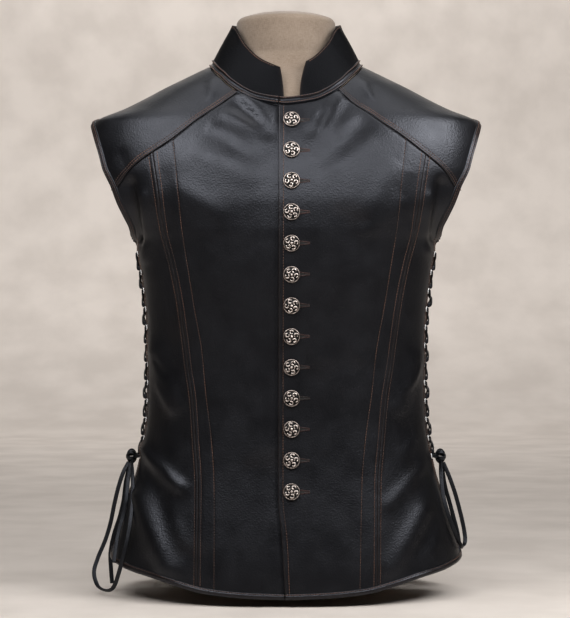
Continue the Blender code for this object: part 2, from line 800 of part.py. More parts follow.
def mirrored(grid):
    """A grid that ends on the back's middle line, completed with its mirror image."""
    return np.concatenate([grid, (360.0, 0.0) + grid[:, -2::-1] * (-1, 1)], axis=1)


def back_sheet():
    """The back in one piece, between the laced edges, armholes, yokes and neck band."""
    yoke = shifted(yoke_back_edge(), YOKE_GAP)[::-1]
    top = np.vstack([yoke, neck_stations()[2][1:]])
    edge, armpit = laced_edge(-1), armpit_edge(-1)
    hem = resample(hem_line(edge[0, 0], 180.0), ARMPIT_COLUMNS + len(top) - 1)
    heights = split_heights(hem[-1, 1], top[-1, 1], BACK_UPPER_ROWS)
    middle = np.stack([np.full(len(heights), 180.0), heights], axis=1)
    share = shares(hem[ARMPIT_COLUMNS:], top)[:, None]
    across = armpit[-1] + (middle[LOWER_ROWS] - armpit[-1]) * share
    lower = coons(edge, middle[: LOWER_ROWS + 1], hem, np.vstack([armpit[:-1], across]))
    upper = coons(armhole_side(-1), middle[LOWER_ROWS:], across, top)
    return Sheet(mirrored(lower), upper=mirrored(upper), start=ARMPIT_COLUMNS)


def hem_binding(name, borders, material):
    """The hem's binding, made from the lowest points of the panels and moved out."""
    lines = np.concatenate(borders, axis=1)
    apart = np.linalg.norm(np.diff(lines[0, :, :3], axis=0), axis=1)
    lines = lines[:, np.concatenate([[True], apart > LEAST_STEP])]
    edge, inner = lines[..., :3]
    tangent = np.gradient(edge, axis=0)
    tangent /= np.linalg.norm(tangent, axis=1, keepdims=True)
    across = inner - edge
    square = across - (across * tangent).sum(axis=1, keepdims=True) * tangent
    share = HEM_BINDING_HEIGHT / np.linalg.norm(square, axis=1, keepdims=True)
    rows = []
    for part in (np.zeros_like(share), share):
        line = lines[0] + (lines[1] - lines[0]) * part
        normal = line[:, 3:] / np.linalg.norm(line[:, 3:], axis=1, keepdims=True)
        rows.append(line[:, :3] + normal * (HEM_LIE_GAP + BAND_WALL))
    return strip(name, np.array(rows), BAND_WALL, material)


def halved(line):
    """A line with a point added in the middle of each piece."""
    middle = (line[1:] + line[:-1]) / 2
    return np.insert(line, np.arange(1, len(line)), middle, axis=0)


def shoulder_edge():
    """Stations of the yoke's armhole edge, from the front over to the back."""
    rising = between(armhole_line(+1), YOKE_FRONT_END, ARMHOLE_FRONT[-1][1])
    falling = between(armhole_line(-1), YOKE_BACK_END, ARMHOLE_BACK[-1][1])[::-1]
    return resample(np.vstack([rising, falling[1:]]), YOKE_ROWS)


def armhole_band(name, side, sheets, material):
    """The stitched band round the armhole, open at the laced side."""
    pieces = [
        armpit_edge(+1),
        armhole_side(+1)[1:-1],
        shoulder_edge(),
        armhole_side(-1)[-2:0:-1],
        armpit_edge(-1)[::-1],
    ]
    line = halved(np.vstack(pieces))
    lines = [line]
    for share in (0.5, 1):
        inner = shifted(line, ARMHOLE_BAND_WIDTH * share)
        for end, face in ((0, 1), (-1, -1)):
            inner[end, 0] = turn_at_depth(LACE_EDGE_Y, inner[end, 1], face)
        lines.append(inner)
    outs = LIE_GAP + BAND_WALL + np.array(BAND_CROWN)
    rows = [on_sheets(sheets, row * (side, 1), out) for row, out in zip(lines, outs)]
    points = np.array(rows)
    if side < 0:
        points = points[:, ::-1]
    return strip(name, points, BAND_WALL, material)


def collar_plain(turn, rise, lead=0.0):
    """The collar's mid surface at a turn of its foot and a share of its height."""
    foot = ring_point(turn, smooth(np.abs(wrapped(turn)), NECK_SEAM))
    plan = np.arctan2(foot[..., 0], -foot[..., 1]) + np.radians(lead)
    depth = np.where(np.cos(plan) >= 0, COLLAR_FRONT, COLLAR_BACK)
    level = smooth(np.abs(wrapped(np.degrees(plan))), COLLAR_TOP)
    top = np.stack(
        [COLLAR_HALF_WIDTH * np.sin(plan), -depth * np.cos(plan), level + DATUM], axis=-1
    )
    return foot + (top - foot) * np.asarray(rise)[..., None]


def collar_point(turn, rise, out=0.0, lead=0.0):
    """A place on the collar's surface, moved out along its normal."""
    along = collar_plain(turn + TURN_STEP, rise) - collar_plain(turn - TURN_STEP, rise)
    up = collar_plain(turn, rise + RISE_STEP) - collar_plain(turn, rise - RISE_STEP)
    normal = np.cross(along, up)
    normal /= np.linalg.norm(normal, axis=-1, keepdims=True)
    return collar_plain(turn, rise, lead) + normal * out


def collar_share(turn, height):
    """The share of the collar's rise at a distance up its slope."""
    slope = collar_plain(turn, np.ones(len(turn))) - collar_plain(turn, np.zeros(len(turn)))
    return height / np.linalg.norm(slope, axis=-1)


def neck_turn_at(angle):
    """The turn at which the neck seam has a plan angle."""
    turns = np.linspace(-90, 90, 721)
    foot = ring_point(turns, smooth(np.abs(turns), NECK_SEAM))
    return float(np.interp(angle, np.degrees(np.arctan2(foot[:, 0], -foot[:, 1])), turns))


def neck_round():
    """All stations of the neck seam, once round from the lap's edge to itself."""
    front, over, back = neck_stations()
    half = np.concatenate([front[:, 0], over[:, 0], back[1:, 0]])
    start = neck_turn_at(NECK_BAND_END)
    return np.concatenate([[start], half, 360 - half[-2::-1], [360 + start - NECK_BAND_SLIT]])


def neck_band(material):
    """The raised band at the foot of the collar, which meets itself at the lap's edge."""
    turns = neck_round()
    levels = (np.zeros(len(turns)), collar_share(turns, NECK_BAND_HEIGHT))
    rows = [collar_point(turns, level, NECK_BAND_PROUD) for level in levels]
    return strip("neck_band", np.array(rows), NECK_BAND_PROUD + WALL, material)


def collar(material):
    """The stand collar, open at the front, with its two slanted ends."""
    (foot_left, top_left), (foot_right, top_right) = COLLAR_END_LEFT, COLLAR_END_RIGHT
    start, end = neck_turn_at(foot_left), 360 + neck_turn_at(foot_right)
    inner = neck_round()
    inner = inner[(inner > start + 1) & (inner < end - 1)]
    turns = np.concatenate([[start], inner, [end]])
    from_left = np.exp(-(turns - start) / COLLAR_END_EASE)
    from_right = np.exp((turns - end) / COLLAR_END_EASE)
    lead = (top_left - foot_left) * from_left + (top_right - foot_right) * from_right
    foot = collar_share(turns, NECK_BAND_HEIGHT + COLLAR_GAP)
    rows = []
    for share in np.linspace(0, 1, COLLAR_ROWS + 1):
        rise = foot + (1 - foot) * share
        rows.append(collar_point(turns, rise, 0.0, lead * rise))
    return strip("collar", np.array(rows), COLLAR_WALL, material)


def button_outline(material):
    """The buttons' shared half outline at +X, from the crown down to the shank's foot."""
    mesh = bpy.data.meshes.new("button_outline")
    points = [(radius, 0.0, height) for radius, height in BUTTON_PROFILE]
    edges = [(k, k + 1) for k in range(len(points) - 1)]
    mesh.from_pydata(points, edges, [])
    mesh.materials.append(material)
    return mesh


def button(index, mesh, sheet):
    """A domed shank button, turned, standing on the lapping front along its normal."""
    height = BUTTON_TOP - BUTTON_STEP * index
    turn = float(turn_at_x(BUTTON_X, height))
    line = [(turn, height)]
    seat, crown = (Vector(on_sheets([sheet], line, out)[0]) for out in (0.0, BUTTON_CROWN))
    obj = new_object(f"button_{index + 1:02d}", mesh)
    obj.rotation_mode = "QUATERNION"
    obj.rotation_quaternion = (crown - seat).to_track_quat("Z", "Y")
    obj.location = seat
    screw = obj.modifiers.new("turned", "SCREW")
    screw.steps = BUTTON_SIDES
    screw.render_steps = BUTTON_SIDES
    screw.axis = "Z"
    screw.use_merge_vertices = True
    screw.merge_threshold = MERGE
    return obj


def side_place(side, y, height, out):
    """A point over the laced side, at a distance out from the leather's surface."""
    turn = np.array(float(turn_at_depth(abs(y), height, 1 if y <= 0 else -1)) * side)
    level = np.array(height)
    return ring_point(turn, level) + ring_normal(turn, level) * out


def spline_points(route):
    """Points spread evenly along a smooth curve through a route's own points."""
    route = np.asarray(route, float)
    padded = np.vstack([2 * route[0] - route[1], route, 2 * route[-1] - route[-2]])
    dense = []
    for a, b, c, d in zip(padded, padded[1:], padded[2:], padded[3:]):
        for t in np.linspace(0, 1, CURVE_STEPS, endpoint=False):
            bend = (2 * a - 5 * b + 4 * c - d) * t**2 + (3 * b - a - 3 * c + d) * t**3
            dense.append(0.5 * (2 * b + (c - a) * t + bend))
    dense = np.array([*dense, route[-1]])
    length = np.concatenate([[0], np.cumsum(np.linalg.norm(np.diff(dense, axis=0), axis=1))])
    at = np.linspace(0, length[-1], round(length[-1] / THONG_POINT_EVERY))
    return np.stack([np.interp(at, length, dense[:, k]) for k in range(3)], axis=1)


def thong(name, points, resolution, material):
    """A leather thong as a round tube along its points."""
    data = bpy.data.curves.new(name, "CURVE")
    data.dimensions = "3D"
    data.bevel_depth = THONG_RADIUS
    data.bevel_resolution = resolution
    data.use_fill_caps = True
    spline = data.splines.new("POLY")
    spline.points.add(len(points) - 1)
    for knot_point, place in zip(spline.points, points):
        knot_point.co = (*place, 1.0)
    return new_object(name, data, material)


def lace_points(side, first):
    """Half of a side's lace, from inside the top row down through the eyelets to the knot."""
    inner = -WALL - THONG_RADIUS - LACE_CLEAR
    outer = THONG_RADIUS + LACE_CLEAR
    face = first
    points = [side_place(side, face * SEAM_GAP / 2, EYELET_TOP, inner)]
    for row in range(EYELET_ROWS):
        height = EYELET_TOP - EYELET_STEP * row
        points.append(side_place(side, face * (EYELET_Y + LACE_LEAN), height, inner))
        points.append(side_place(side, face * (EYELET_Y - LACE_LEAN), height, outer))
        if row == EYELET_ROWS - 1:
            break
        over = 1 if (row % 2 == 0) == (first > 0) else -1
        crossing = CROSSING_OUT + over * CROSSING_SPREAD
        points.append(side_place(side, 0.0, height - EYELET_STEP * 0.5, crossing))
        face = -face
        edge = face * (LACE_EDGE_Y + LACE_LEAN)
        points.append(side_place(side, edge, height - EYELET_STEP * 0.85, inner))
    points.append(knot_seat(side, points[-1]))
    return points


def knot_centre(side):
    """The middle of a side's knot."""
    return side_place(side, KNOT_Y, KNOT_HEIGHT, KNOT_OUT)


def knot_seat(side, target):
    """The end of a thong that comes to the knot from a point, a seam's gap off its surface."""
    toward = unit(np.asarray(target) - knot_centre(side))
    reach = 1 / np.linalg.norm(toward / KNOT_SIZE)
    return knot_centre(side) + toward * (reach + SEAM_GAP)


def bow_route(name, points):
    """A free end's route with its seats on the knot: both ends of a loop, one of a tail."""
    side = 1 if points[0][0] > 0 else -1
    route = [knot_seat(side, points[0]), *points]
    if "loop" in name:
        route.append(knot_seat(side, points[-1]))
    return route


def knot(name, side, material):
    """The lump of a tied bow, as an ellipsoid."""
    bm = bmesh.new()
    around, along = KNOT_SEGMENTS
    bmesh.ops.create_uvsphere(bm, u_segments=around, v_segments=along, radius=1.0)
    bmesh.ops.scale(bm, vec=Vector(KNOT_SIZE), verts=bm.verts)
    bmesh.ops.translate(bm, vec=Vector(knot_centre(side).tolist()), verts=bm.verts)
    mesh = bpy.data.meshes.new(name)
    bm.to_mesh(mesh)
    bm.free()
    return new_object(name, mesh, material)


def eyelet_cutter(name, places):
    """Round cutters for a panel's eyelet holes, in one guide object."""
    bm = bmesh.new()
    for side, face, row in places:
        height = EYELET_TOP - EYELET_STEP * row
        centre = Vector(side_place(side, face * EYELET_Y, height, -WALL / 2).tolist())
        outside = Vector(side_place(side, face * EYELET_Y, height, WALL).tolist())
        turned = (outside - centre).to_track_quat("Z", "Y").to_matrix().to_4x4()
        bmesh.ops.create_cone(
            bm,
            cap_ends=True,
            segments=EYELET_SIDES,
            radius1=EYELET_RADIUS,
            radius2=EYELET_RADIUS,
            depth=CUTTER_DEPTH,
            matrix=Matrix.Translation(centre) @ turned,
        )
    mesh = bpy.data.meshes.new(name)
    bm.to_mesh(mesh)
    bm.free()
    obj = bpy.data.objects.new(name, mesh)
    bpy.data.collections[CUTTERS].objects.link(obj)
    obj.hide_render = True
    obj.display_type = "WIRE"
    return obj


def cut_eyelets(obj, places):
    """Cuts a panel's eyelet holes."""
    cut = obj.modifiers.new("eyelets", "BOOLEAN")
    cut.operation = "DIFFERENCE"
    cut.object = eyelet_cutter(f"{obj.name}_eyelets", places)


def form_ring(height):
    """The form's torso at a height: the leather's ring moved in, and shortened at the arms."""
    turns = np.linspace(0, 360, FORM_SIDES, endpoint=False)
    level = np.full(FORM_SIDES, height)
    clear = smooth(level, FORM_CLEARANCE)
    points = ring_point(turns, level) - ring_normal(turns, level) * clear[:, None]
    start = FORM_SIDE - FORM_SIDE_EASE
    over = np.maximum(np.abs(points[:, 0]) - start, 0)
    eased = start + FORM_SIDE_EASE * np.tanh(over / FORM_SIDE_EASE)
    points[:, 0] = np.sign(points[:, 0]) * np.where(over > 0, eased, np.abs(points[:, 0]))
    return points


def oval(half, depth, middle, level):
    """A level oval of the form."""
    turns = np.radians(np.linspace(0, 360, FORM_SIDES, endpoint=False))
    rise = np.full(FORM_SIDES, level)
    return np.stack([half * np.sin(turns), middle - depth * np.cos(turns), rise], axis=1)


def form_foot(share, top):
    """A ring between the flat foot and the lowest torso ring."""
    ring = oval(*FORM_FOOT, 0.0, 0.0)
    quarter = share * math.pi / 2
    ring += (top - ring) * math.sin(quarter)
    ring[:, 2] = top[:, 2] * (1 - math.cos(quarter)) ** FORM_FOOT_POWER
    return ring


def dress_form(material):
    """The limbless form: a tapered foot, the torso, flat arm ends and a domed neck."""
    torso = [form_ring(height) for height in FORM_ROWS]
    rings = [form_foot(share, torso[0]) for share in FORM_FOOT_SHARES] + torso
    rings += [oval(half, depth, middle, z + DATUM) for z, half, depth, middle in FORM_NECK]
    points = np.vstack(rings).tolist()
    points.append((0.0, 0.0, FORM_APEX + DATUM))
    faces = [list(range(FORM_SIDES))[::-1]]
    for low in range(0, (len(rings) - 1) * FORM_SIDES, FORM_SIDES):
        high = low + FORM_SIDES
        for k in range(FORM_SIDES):
            n = (k + 1) % FORM_SIDES
            faces.append([low + k, low + n, high + n, high + k])
    last = (len(rings) - 1) * FORM_SIDES
    for k in range(FORM_SIDES):
        faces.append([last + k, last + (k + 1) % FORM_SIDES, len(points) - 1])
    mesh = bpy.data.meshes.new("dress_form")
    mesh.from_pydata(points, [], faces)
    mesh.shade_smooth()
    return new_object("dress_form", mesh, material)


def finish(name, colour, roughness, metallic=0.0):
    """A Principled material with a part's colour, roughness and metallic value."""
    material = bpy.data.materials.new(name)
    material.use_nodes = True
    shader = material.node_tree.nodes["Principled BSDF"]
    shader.inputs["Base Color"].default_value = colour
    shader.inputs["Roughness"].default_value = roughness
    shader.inputs["Metallic"].default_value = metallic
    material.diffuse_color = colour
    return material


def clear_scene():
    """Removes the startup objects and makes the two collections."""
    for obj in list(bpy.data.objects):
        bpy.data.objects.remove(obj)
    for name in (COLLECTION, CUTTERS):
        bpy.context.scene.collection.children.link(bpy.data.collections.new(name))


def lap_x(height):
    """The lapping front's centre edge."""
    return smooth(height, LAP_EDGE)


def underlap_x(height):
    """The covered front's centre edge, as its mirror image on the +X side."""
    return np.full(np.shape(height), -UNDERLAP_EDGE_X)


def panels(leather):
    """Makes every leather panel and returns their sheets by name."""
    sheets = {
        "front_left": front_sheet(1, lap_x),
        "front_right": front_sheet(-1, underlap_x),
        "side_left": side_sheet(1),
        "side_right": side_sheet(-1),
        "yoke_left": yoke_sheet(1),
        "yoke_right": yoke_sheet(-1),
        "back": back_sheet(),
    }
    made = {
        name: walled(name, sheet.points, sheet.quads, WALL, leather)
        for name, sheet in sheets.items()
    }
    rows = range(EYELET_ROWS)
    cut_eyelets(made["side_left"], [(1, -1, row) for row in rows])
    cut_eyelets(made["side_right"], [(-1, -1, row) for row in rows])
    cut_eyelets(made["back"], [(side, 1, row) for side in (1, -1) for row in rows])
    return sheets


def trims(sheets, trim):
    """Makes the armhole bands and the hem's bindings."""
    names = ("front_left", "side_left", "side_right", "front_right", "back")
    hems = {name: sheets[name].hem() for name in names}
    lap_end = float(lap_x(HEM[0][1])) - HEM_SLIT
    hems["front_right"] = shortened(hems["front_right"], lap_end)
    hem_binding("hem_binding_left", [hems["front_left"], hems["side_left"]], trim)
    hem_binding("hem_binding_right", [hems["side_right"], hems["front_right"]], trim)
    hem_binding("hem_binding_back", [hems["back"]], trim)
    for label, side in (("left", 1), ("right", -1)):
        over = [sheets[f"side_{label}"], sheets[f"yoke_{label}"], sheets["back"]]
        armhole_band(f"armhole_band_{label}", side, over, trim)


def laces(thongs):
    """Makes each side's lace in two halves, its knot, and the ends that hang from it."""
    for label, side in (("left", 1), ("right", -1)):
        for end, first in (("a", -1), ("b", 1)):
            thong(f"lace_{label}_{end}", lace_points(side, first), 1, thongs)
        knot(f"knot_{label}", side, thongs)
    for name, route in BOW_ROUTES.items():
        thong(name, spline_points(bow_route(name, route)), 2, thongs)


def main():
    """Builds the vest's pieces and the form."""
    clear_scene()
    leather = finish("black_leather", LEATHER, 0.42)
    trim = finish("black_leather_trim", LEATHER_TRIM, 0.45)
    thongs = finish("black_thong", THONG_LEATHER, 0.5)
    pewter = finish("antique_pewter", PEWTER, 0.32, 0.95)
    linen = finish("beige_linen", LINEN, 0.85)
    sheets = panels(leather)
    collar(leather)
    neck_band(trim)
    trims(sheets, trim)
    outline = button_outline(pewter)
    for index in range(BUTTONS):
        button(index, outline, sheets["front_left"])
    laces(thongs)
    dress_form(linen)


if __name__ == "__main__":
    main()
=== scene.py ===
"""The looks of a medieval leather vest, laced at its sides, on its limbless dress form.

Every leather piece lies on one family of level rings, each a superellipse worked out from
the half width and the depths at its height. A place on it is a turn in degrees, counted from
the front centre towards the wearer's left, and a height over the hem datum. Panels are worked
out on the +X side and mirrored. Units are metres, +Z is up and the front faces -Y.
"""

import logging
import math
from dataclasses import dataclass, field
from enum import Enum
from functools import cached_property

import bpy
import numpy as np
from mathutils import Matrix, Vector


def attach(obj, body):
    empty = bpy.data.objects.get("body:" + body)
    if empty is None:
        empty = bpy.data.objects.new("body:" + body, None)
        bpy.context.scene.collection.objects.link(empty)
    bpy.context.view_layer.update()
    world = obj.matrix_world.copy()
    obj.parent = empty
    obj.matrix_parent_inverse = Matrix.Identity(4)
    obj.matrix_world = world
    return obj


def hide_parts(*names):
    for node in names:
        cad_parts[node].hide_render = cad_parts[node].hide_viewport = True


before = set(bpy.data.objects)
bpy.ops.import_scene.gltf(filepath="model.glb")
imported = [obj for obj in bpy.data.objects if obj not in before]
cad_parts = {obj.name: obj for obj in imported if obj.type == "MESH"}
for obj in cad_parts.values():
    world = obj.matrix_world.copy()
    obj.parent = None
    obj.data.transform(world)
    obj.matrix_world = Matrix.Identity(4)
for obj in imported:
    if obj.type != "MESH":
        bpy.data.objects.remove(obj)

Array = np.ndarray
Material, Object = bpy.types.Material, bpy.types.Object
Tree, Node, Socket = bpy.types.NodeTree, bpy.types.Node, bpy.types.NodeSocket

LOG = logging.getLogger("vest")
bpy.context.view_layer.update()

# The hem datum over the floor, the leather's thickness, and the power of the level rings.
DATUM = 0.006
WALL = 0.0016
SQUARENESS = 2.3
# Steps for slopes, in degrees, metres and shares, and the length of a degree round the vest.
TURN_STEP = 0.4
HEIGHT_STEP = 0.001
RISE_STEP = 0.01
DEGREE_LENGTH = 0.003
# Points of a dense line, rounds to settle a place, and points that are measured at a time.
LINE_POINTS = 160
SETTLE_ROUNDS = 8
CHUNK = 1500
# Leather's edges: how wear fades away from them, the depth and wear of a band's crowns, how
# far the two faces curl together, and how far from the rim a point may be to count as near.
WEAR_REACH = 0.0012
CROWN_DEPTH = 0.0006
CROWN_WEAR = 0.3
CURL = 0.47
RIM_REACH = 0.004

# Level rings of the vest's outer surface: height, half width, front depth, back depth.
RINGS = (
    (-0.020, 0.2400, 0.1540, 0.1520),
    (0.030, 0.2295, 0.1475, 0.1450),
    (0.060, 0.2220, 0.1420, 0.1400),
    (0.090, 0.2125, 0.1355, 0.1340),
    (0.120, 0.2030, 0.1290, 0.1270),
    (0.150, 0.1940, 0.1230, 0.1190),
    (0.180, 0.1875, 0.1185, 0.1110),
    (0.210, 0.1830, 0.1155, 0.1050),
    (0.240, 0.1810, 0.1140, 0.1010),
    (0.280, 0.1800, 0.1140, 0.0995),
    (0.320, 0.1805, 0.1160, 0.1020),
    (0.360, 0.1825, 0.1200, 0.1070),
    (0.400, 0.1870, 0.1255, 0.1130),
    (0.4445, 0.1965, 0.1300, 0.1190),
    (0.4627, 0.2080, 0.1315, 0.1210),
    (0.4887, 0.2310, 0.1315, 0.1230),
    (0.5147, 0.2455, 0.1290, 0.1240),
    (0.5407, 0.2545, 0.1245, 0.1235),
    (0.5667, 0.2560, 0.1180, 0.1210),
    (0.5920, 0.2525, 0.1095, 0.1160),
    (0.6000, 0.2500, 0.1060, 0.1140),
    (0.6187, 0.2090, 0.0980, 0.1070),
    (0.6317, 0.1830, 0.0920, 0.1010),
    (0.6447, 0.1586, 0.0850, 0.0940),
    (0.6577, 0.1320, 0.0775, 0.0860),
    (0.6707, 0.1050, 0.0690, 0.0770),
    (0.6770, 0.0905, 0.0650, 0.0725),
    (0.6920, 0.0800, 0.0590, 0.0650),
    (0.7050, 0.0740, 0.0560, 0.0610),
)

# The vest's largest folds: side (+1 wearer's left), front (+1) or back (-1), x and height of
# both ends from the centre, rise of the crest (a trough is negative) and half spread.
FOLDS = (
    (-1, +1, 0.199, 0.514, 0.1885, 0.450, -0.0075, 0.0100),
    (+1, +1, 0.199, 0.514, 0.1885, 0.450, -0.0075, 0.0100),
    (-1, +1, 0.180, 0.500, 0.180, 0.425, 0.0022, 0.0075),
    (+1, +1, 0.180, 0.500, 0.182, 0.435, 0.0022, 0.0075),
    (-1, +1, 0.050, 0.628, 0.024, 0.596, 0.0030, 0.0085),
    (-1, +1, 0.060, 0.612, 0.042, 0.590, -0.0024, 0.0090),
    (+1, +1, 0.068, 0.626, 0.047, 0.584, 0.0030, 0.0085),
    (+1, +1, 0.098, 0.592, 0.052, 0.548, -0.0020, 0.0150),
    (-1, +1, 0.186, 0.120, 0.147, 0.040, 0.0065, 0.0140),
    (-1, +1, 0.182, 0.180, 0.134, 0.138, 0.0042, 0.0085),
    (+1, +1, 0.170, 0.158, 0.128, 0.116, 0.0018, 0.0090),
    (+1, +1, 0.172, 0.104, 0.130, 0.040, 0.0034, 0.0125),
    (-1, +1, 0.168, 0.306, 0.140, 0.240, 0.0030, 0.0120),
    (+1, +1, 0.168, 0.296, 0.142, 0.236, 0.0026, 0.0120),
    (-1, -1, 0.170, 0.110, 0.120, 0.045, 0.0050, 0.0150),
    (+1, -1, 0.165, 0.125, 0.118, 0.060, 0.0045, 0.0150),
    (-1, -1, 0.150, 0.250, 0.090, 0.215, 0.0030, 0.0140),
    (+1, -1, 0.155, 0.262, 0.100, 0.222, 0.0030, 0.0140),
)

# Lower edge of the neck band: turn, height.
NECK_SEAM = (
    (0.0, 0.6165),
    (4.0, 0.6190),
    (8.4, 0.6225),
    (13.7, 0.6296),
    (21.5, 0.6406),
    (33.8, 0.6543),
    (60.0, 0.6690),
    (90.0, 0.6750),
    (180.0, 0.6865),
)
# Front edge of each side's yoke: x, height.
YOKE_FRONT = {
    1: (
        (0.0728, 0.6287),
        (0.0871, 0.6166),
        (0.1120, 0.6008),
        (0.1444, 0.5779),
        (0.1715, 0.5573),
        (0.1920, 0.5415),
        (0.2065, 0.5262),
    ),
    -1: (
        (0.0786, 0.6200),
        (0.1013, 0.6046),
        (0.1159, 0.5941),
        (0.1434, 0.5727),
        (0.1643, 0.5590),
        (0.1835, 0.5465),
        (0.2000, 0.5320),
    ),
}
YOKE_NECK_TURN = {1: 19.0, -1: 16.5}
YOKE_FRONT_END = 0.506
SPLIT = 0.480
# Back edge of the yoke: turn, height.
YOKE_BACK = ((151.0, 0.665), (144.0, 0.632), (135.0, 0.602), (127.0, 0.577))
YOKE_BACK_NECK_TURN = 152.0
YOKE_BACK_END = 0.535
# Shaped seam from the hem to the yoke: height, x.
SHAPED_SEAM = (
    (0.000, 0.1108),
    (0.0922, 0.1116),
    (0.1407, 0.1121),
    (0.1961, 0.1164),
    (0.2459, 0.1204),
    (0.2872, 0.1268),
    (0.3273, 0.1319),
    (0.3713, 0.1381),
    (0.4152, 0.1469),
    (0.4590, 0.1579),
    (0.5123, 0.1648),
    (0.5573, 0.1715),
)
# The single row of stitches inside the shaped seam: height, x.
INNER_ROW = (
    (0.0000, 0.0896),
    (0.0928, 0.0909),
    (0.1437, 0.0920),
    (0.1953, 0.0961),
    (0.2537, 0.1038),
    (0.3087, 0.1095),
    (0.3575, 0.1182),
    (0.4150, 0.1274),
    (0.4585, 0.1340),
    (0.5205, 0.1400),
    (0.5770, 0.1461),
)
# How far the seams and single rows stand over to the wearer's left: height, distance.
SEAM_SHIFT = ((0.0, 0.0010), (0.15, 0.0025), (0.35, 0.0040), (0.58, 0.0042))
# How far the two rows beside the shaped seam stand from it: height, distance.
ROW_REACH = ((0.0, 0.0040), (0.25, 0.0046), (0.58, 0.0060))
# Edge of the wearer's left front, which laps over the right one: height, x.
LAP_EDGE = (
    (0.0000, -0.0006),
    (0.0517, -0.0037),
    (0.0937, -0.0068),
    (0.1240, -0.0096),
    (0.6200, -0.0088),
)
UNDERLAP_EDGE_X = 0.019
UNDERLAP_SINK = WALL + 0.0012
UNDERLAP_EASE = (-0.034, -0.013)
# Hem line: turn, height. It is the same on both sides.
HEM = (
    (0.0, 0.0037),
    (9.2, 0.0052),
    (22.0, 0.0096),
    (32.1, 0.0173),
    (44.8, 0.0263),
    (57.4, 0.0319),
    (70.2, 0.0370),
    (90.0, 0.0420),
    (110.0, 0.0350),
    (130.0, 0.0240),
    (150.0, 0.0130),
    (180.0, 0.0070),
)
HEM_CORNER = 0.013
LACE_EDGE_Y = 0.014
SIDES = {"left": 1, "right": -1}
# Armhole edge from the laced side up to the shoulder tip: depth from the middle, height.
ARMHOLE_FRONT = (
    (0.0140, 0.4535),
    (0.0340, 0.4590),
    (0.0515, 0.4720),
    (0.0628, 0.4885),
    (0.0659, 0.5120),
    (0.0592, 0.5407),
    (0.0520, 0.5600),
    (0.0400, 0.5780),
    (0.0220, 0.5920),
    (0.0000, 0.6000),
)
ARMHOLE_BACK = (
    (0.0140, 0.4535),
    (0.0360, 0.4590),
    (0.0550, 0.4720),
    (0.0660, 0.4885),
    (0.0700, 0.5120),
    (0.0650, 0.5407),
    (0.0570, 0.5600),
    (0.0430, 0.5780),
    (0.0240, 0.5920),
    (0.0000, 0.6000),
)
# Upper edge of the collar: plan angle from the front, height.
COLLAR_TOP = (
    (0.0, 0.661),
    (26.0, 0.676),
    (47.0, 0.697),
    (68.0, 0.722),
    (90.0, 0.729),
    (180.0, 0.735),
)

# Marks across an edge or a row, where the grid's lines lie close together.
SEAM_MARKS = (0, 0.00015, 0.0004, 0.0008, 0.0014, 0.0022, 0.0030, 0.0038, 0.0046, 0.0054, 0.0064)
LAP_MARKS = (0, 0.00015, 0.0004, 0.0008, 0.0014, 0.0022, 0.0034, 0.0046, 0.0055, 0.0064, 0.0080)
LACED_MARKS = (
    *(0, 0.00015, 0.0004, 0.0008, 0.0015, 0.0024, 0.0030, 0.0036, 0.0050),
    *(0.0080, 0.0115, 0.0145, 0.0158, 0.0165, 0.0172, 0.0190),
)
ROW_MARKS = (0, 0.0007, 0.0015, 0.0030)
TOP_MARKS = (0, 0.0004, 0.0009, 0.0014, 0.0020, 0.0028)
YOKE_MARKS = (
    *(0, 0.00015, 0.0004, 0.0008, 0.0014, 0.0020, 0.0026, 0.0032),
    *(0.0042, 0.0052, 0.0059, 0.0066, 0.0085),
)
PLAIN_MARKS = (0, 0.0015)


def smooth(at: Array, rows: tuple, column: int = 1) -> Array:
    """Reads a table's column along a monotone cubic.

    Args:
        at: the keys to read at.
        rows: the table, with its keys in the first column.
        column: the column to read.

    Returns:
        The values at those keys.
    """
    keys = np.array([row[0] for row in rows])
    values = np.array([row[column] for row in rows])
    step = np.diff(keys)
    slope = np.diff(values) / step
    tangent = np.empty(len(keys))
    tangent[0], tangent[-1] = slope[0], slope[-1]
    product = slope[:-1] * slope[1:]
    first = 2 * step[1:] + step[:-1]
    second = step[1:] + 2 * step[:-1]
    with np.errstate(divide="ignore", invalid="ignore"):
        mean = (first + second) / (first / slope[:-1] + second / slope[1:])
    tangent[1:-1] = np.where(product > 0, mean, 0.0)
    at = np.asarray(at, float)
    place = np.clip(np.searchsorted(keys, at) - 1, 0, len(step) - 1)
    t = (at - keys[place]) / step[place]
    rise = step[place]
    return (
        (1 + 2 * t) * (1 - t) ** 2 * values[place]
        + t * (1 - t) ** 2 * rise * tangent[place]
        + t * t * (3 - 2 * t) * values[place + 1]
        + t * t * (t - 1) * rise * tangent[place + 1]
    )


def signed_power(value: Array, power: float) -> Array:
    """Returns a power that keeps its base's sign."""
    return np.sign(value) * np.abs(value) ** power


def wrapped(angle: Array) -> Array:
    """Returns angles in degrees brought to the range from -180 to 180."""
    return (np.asarray(angle, float) + 180) % 360 - 180


def unit(vectors: Array) -> Array:
    """Returns vectors scaled to length one."""
    return vectors / np.maximum(np.linalg.norm(vectors, axis=-1, keepdims=True), 1e-12)


def eased(value: Array) -> Array:
    """Returns a share from 0 to 1 with soft ends."""
    share = np.clip(value, 0, 1)
    return share * share * (3 - 2 * share)


def swell(away: Array, width: float) -> Array:
    """Returns a bell's share of its height at a distance from its crest."""
    return np.exp(-((away / width) ** 2))


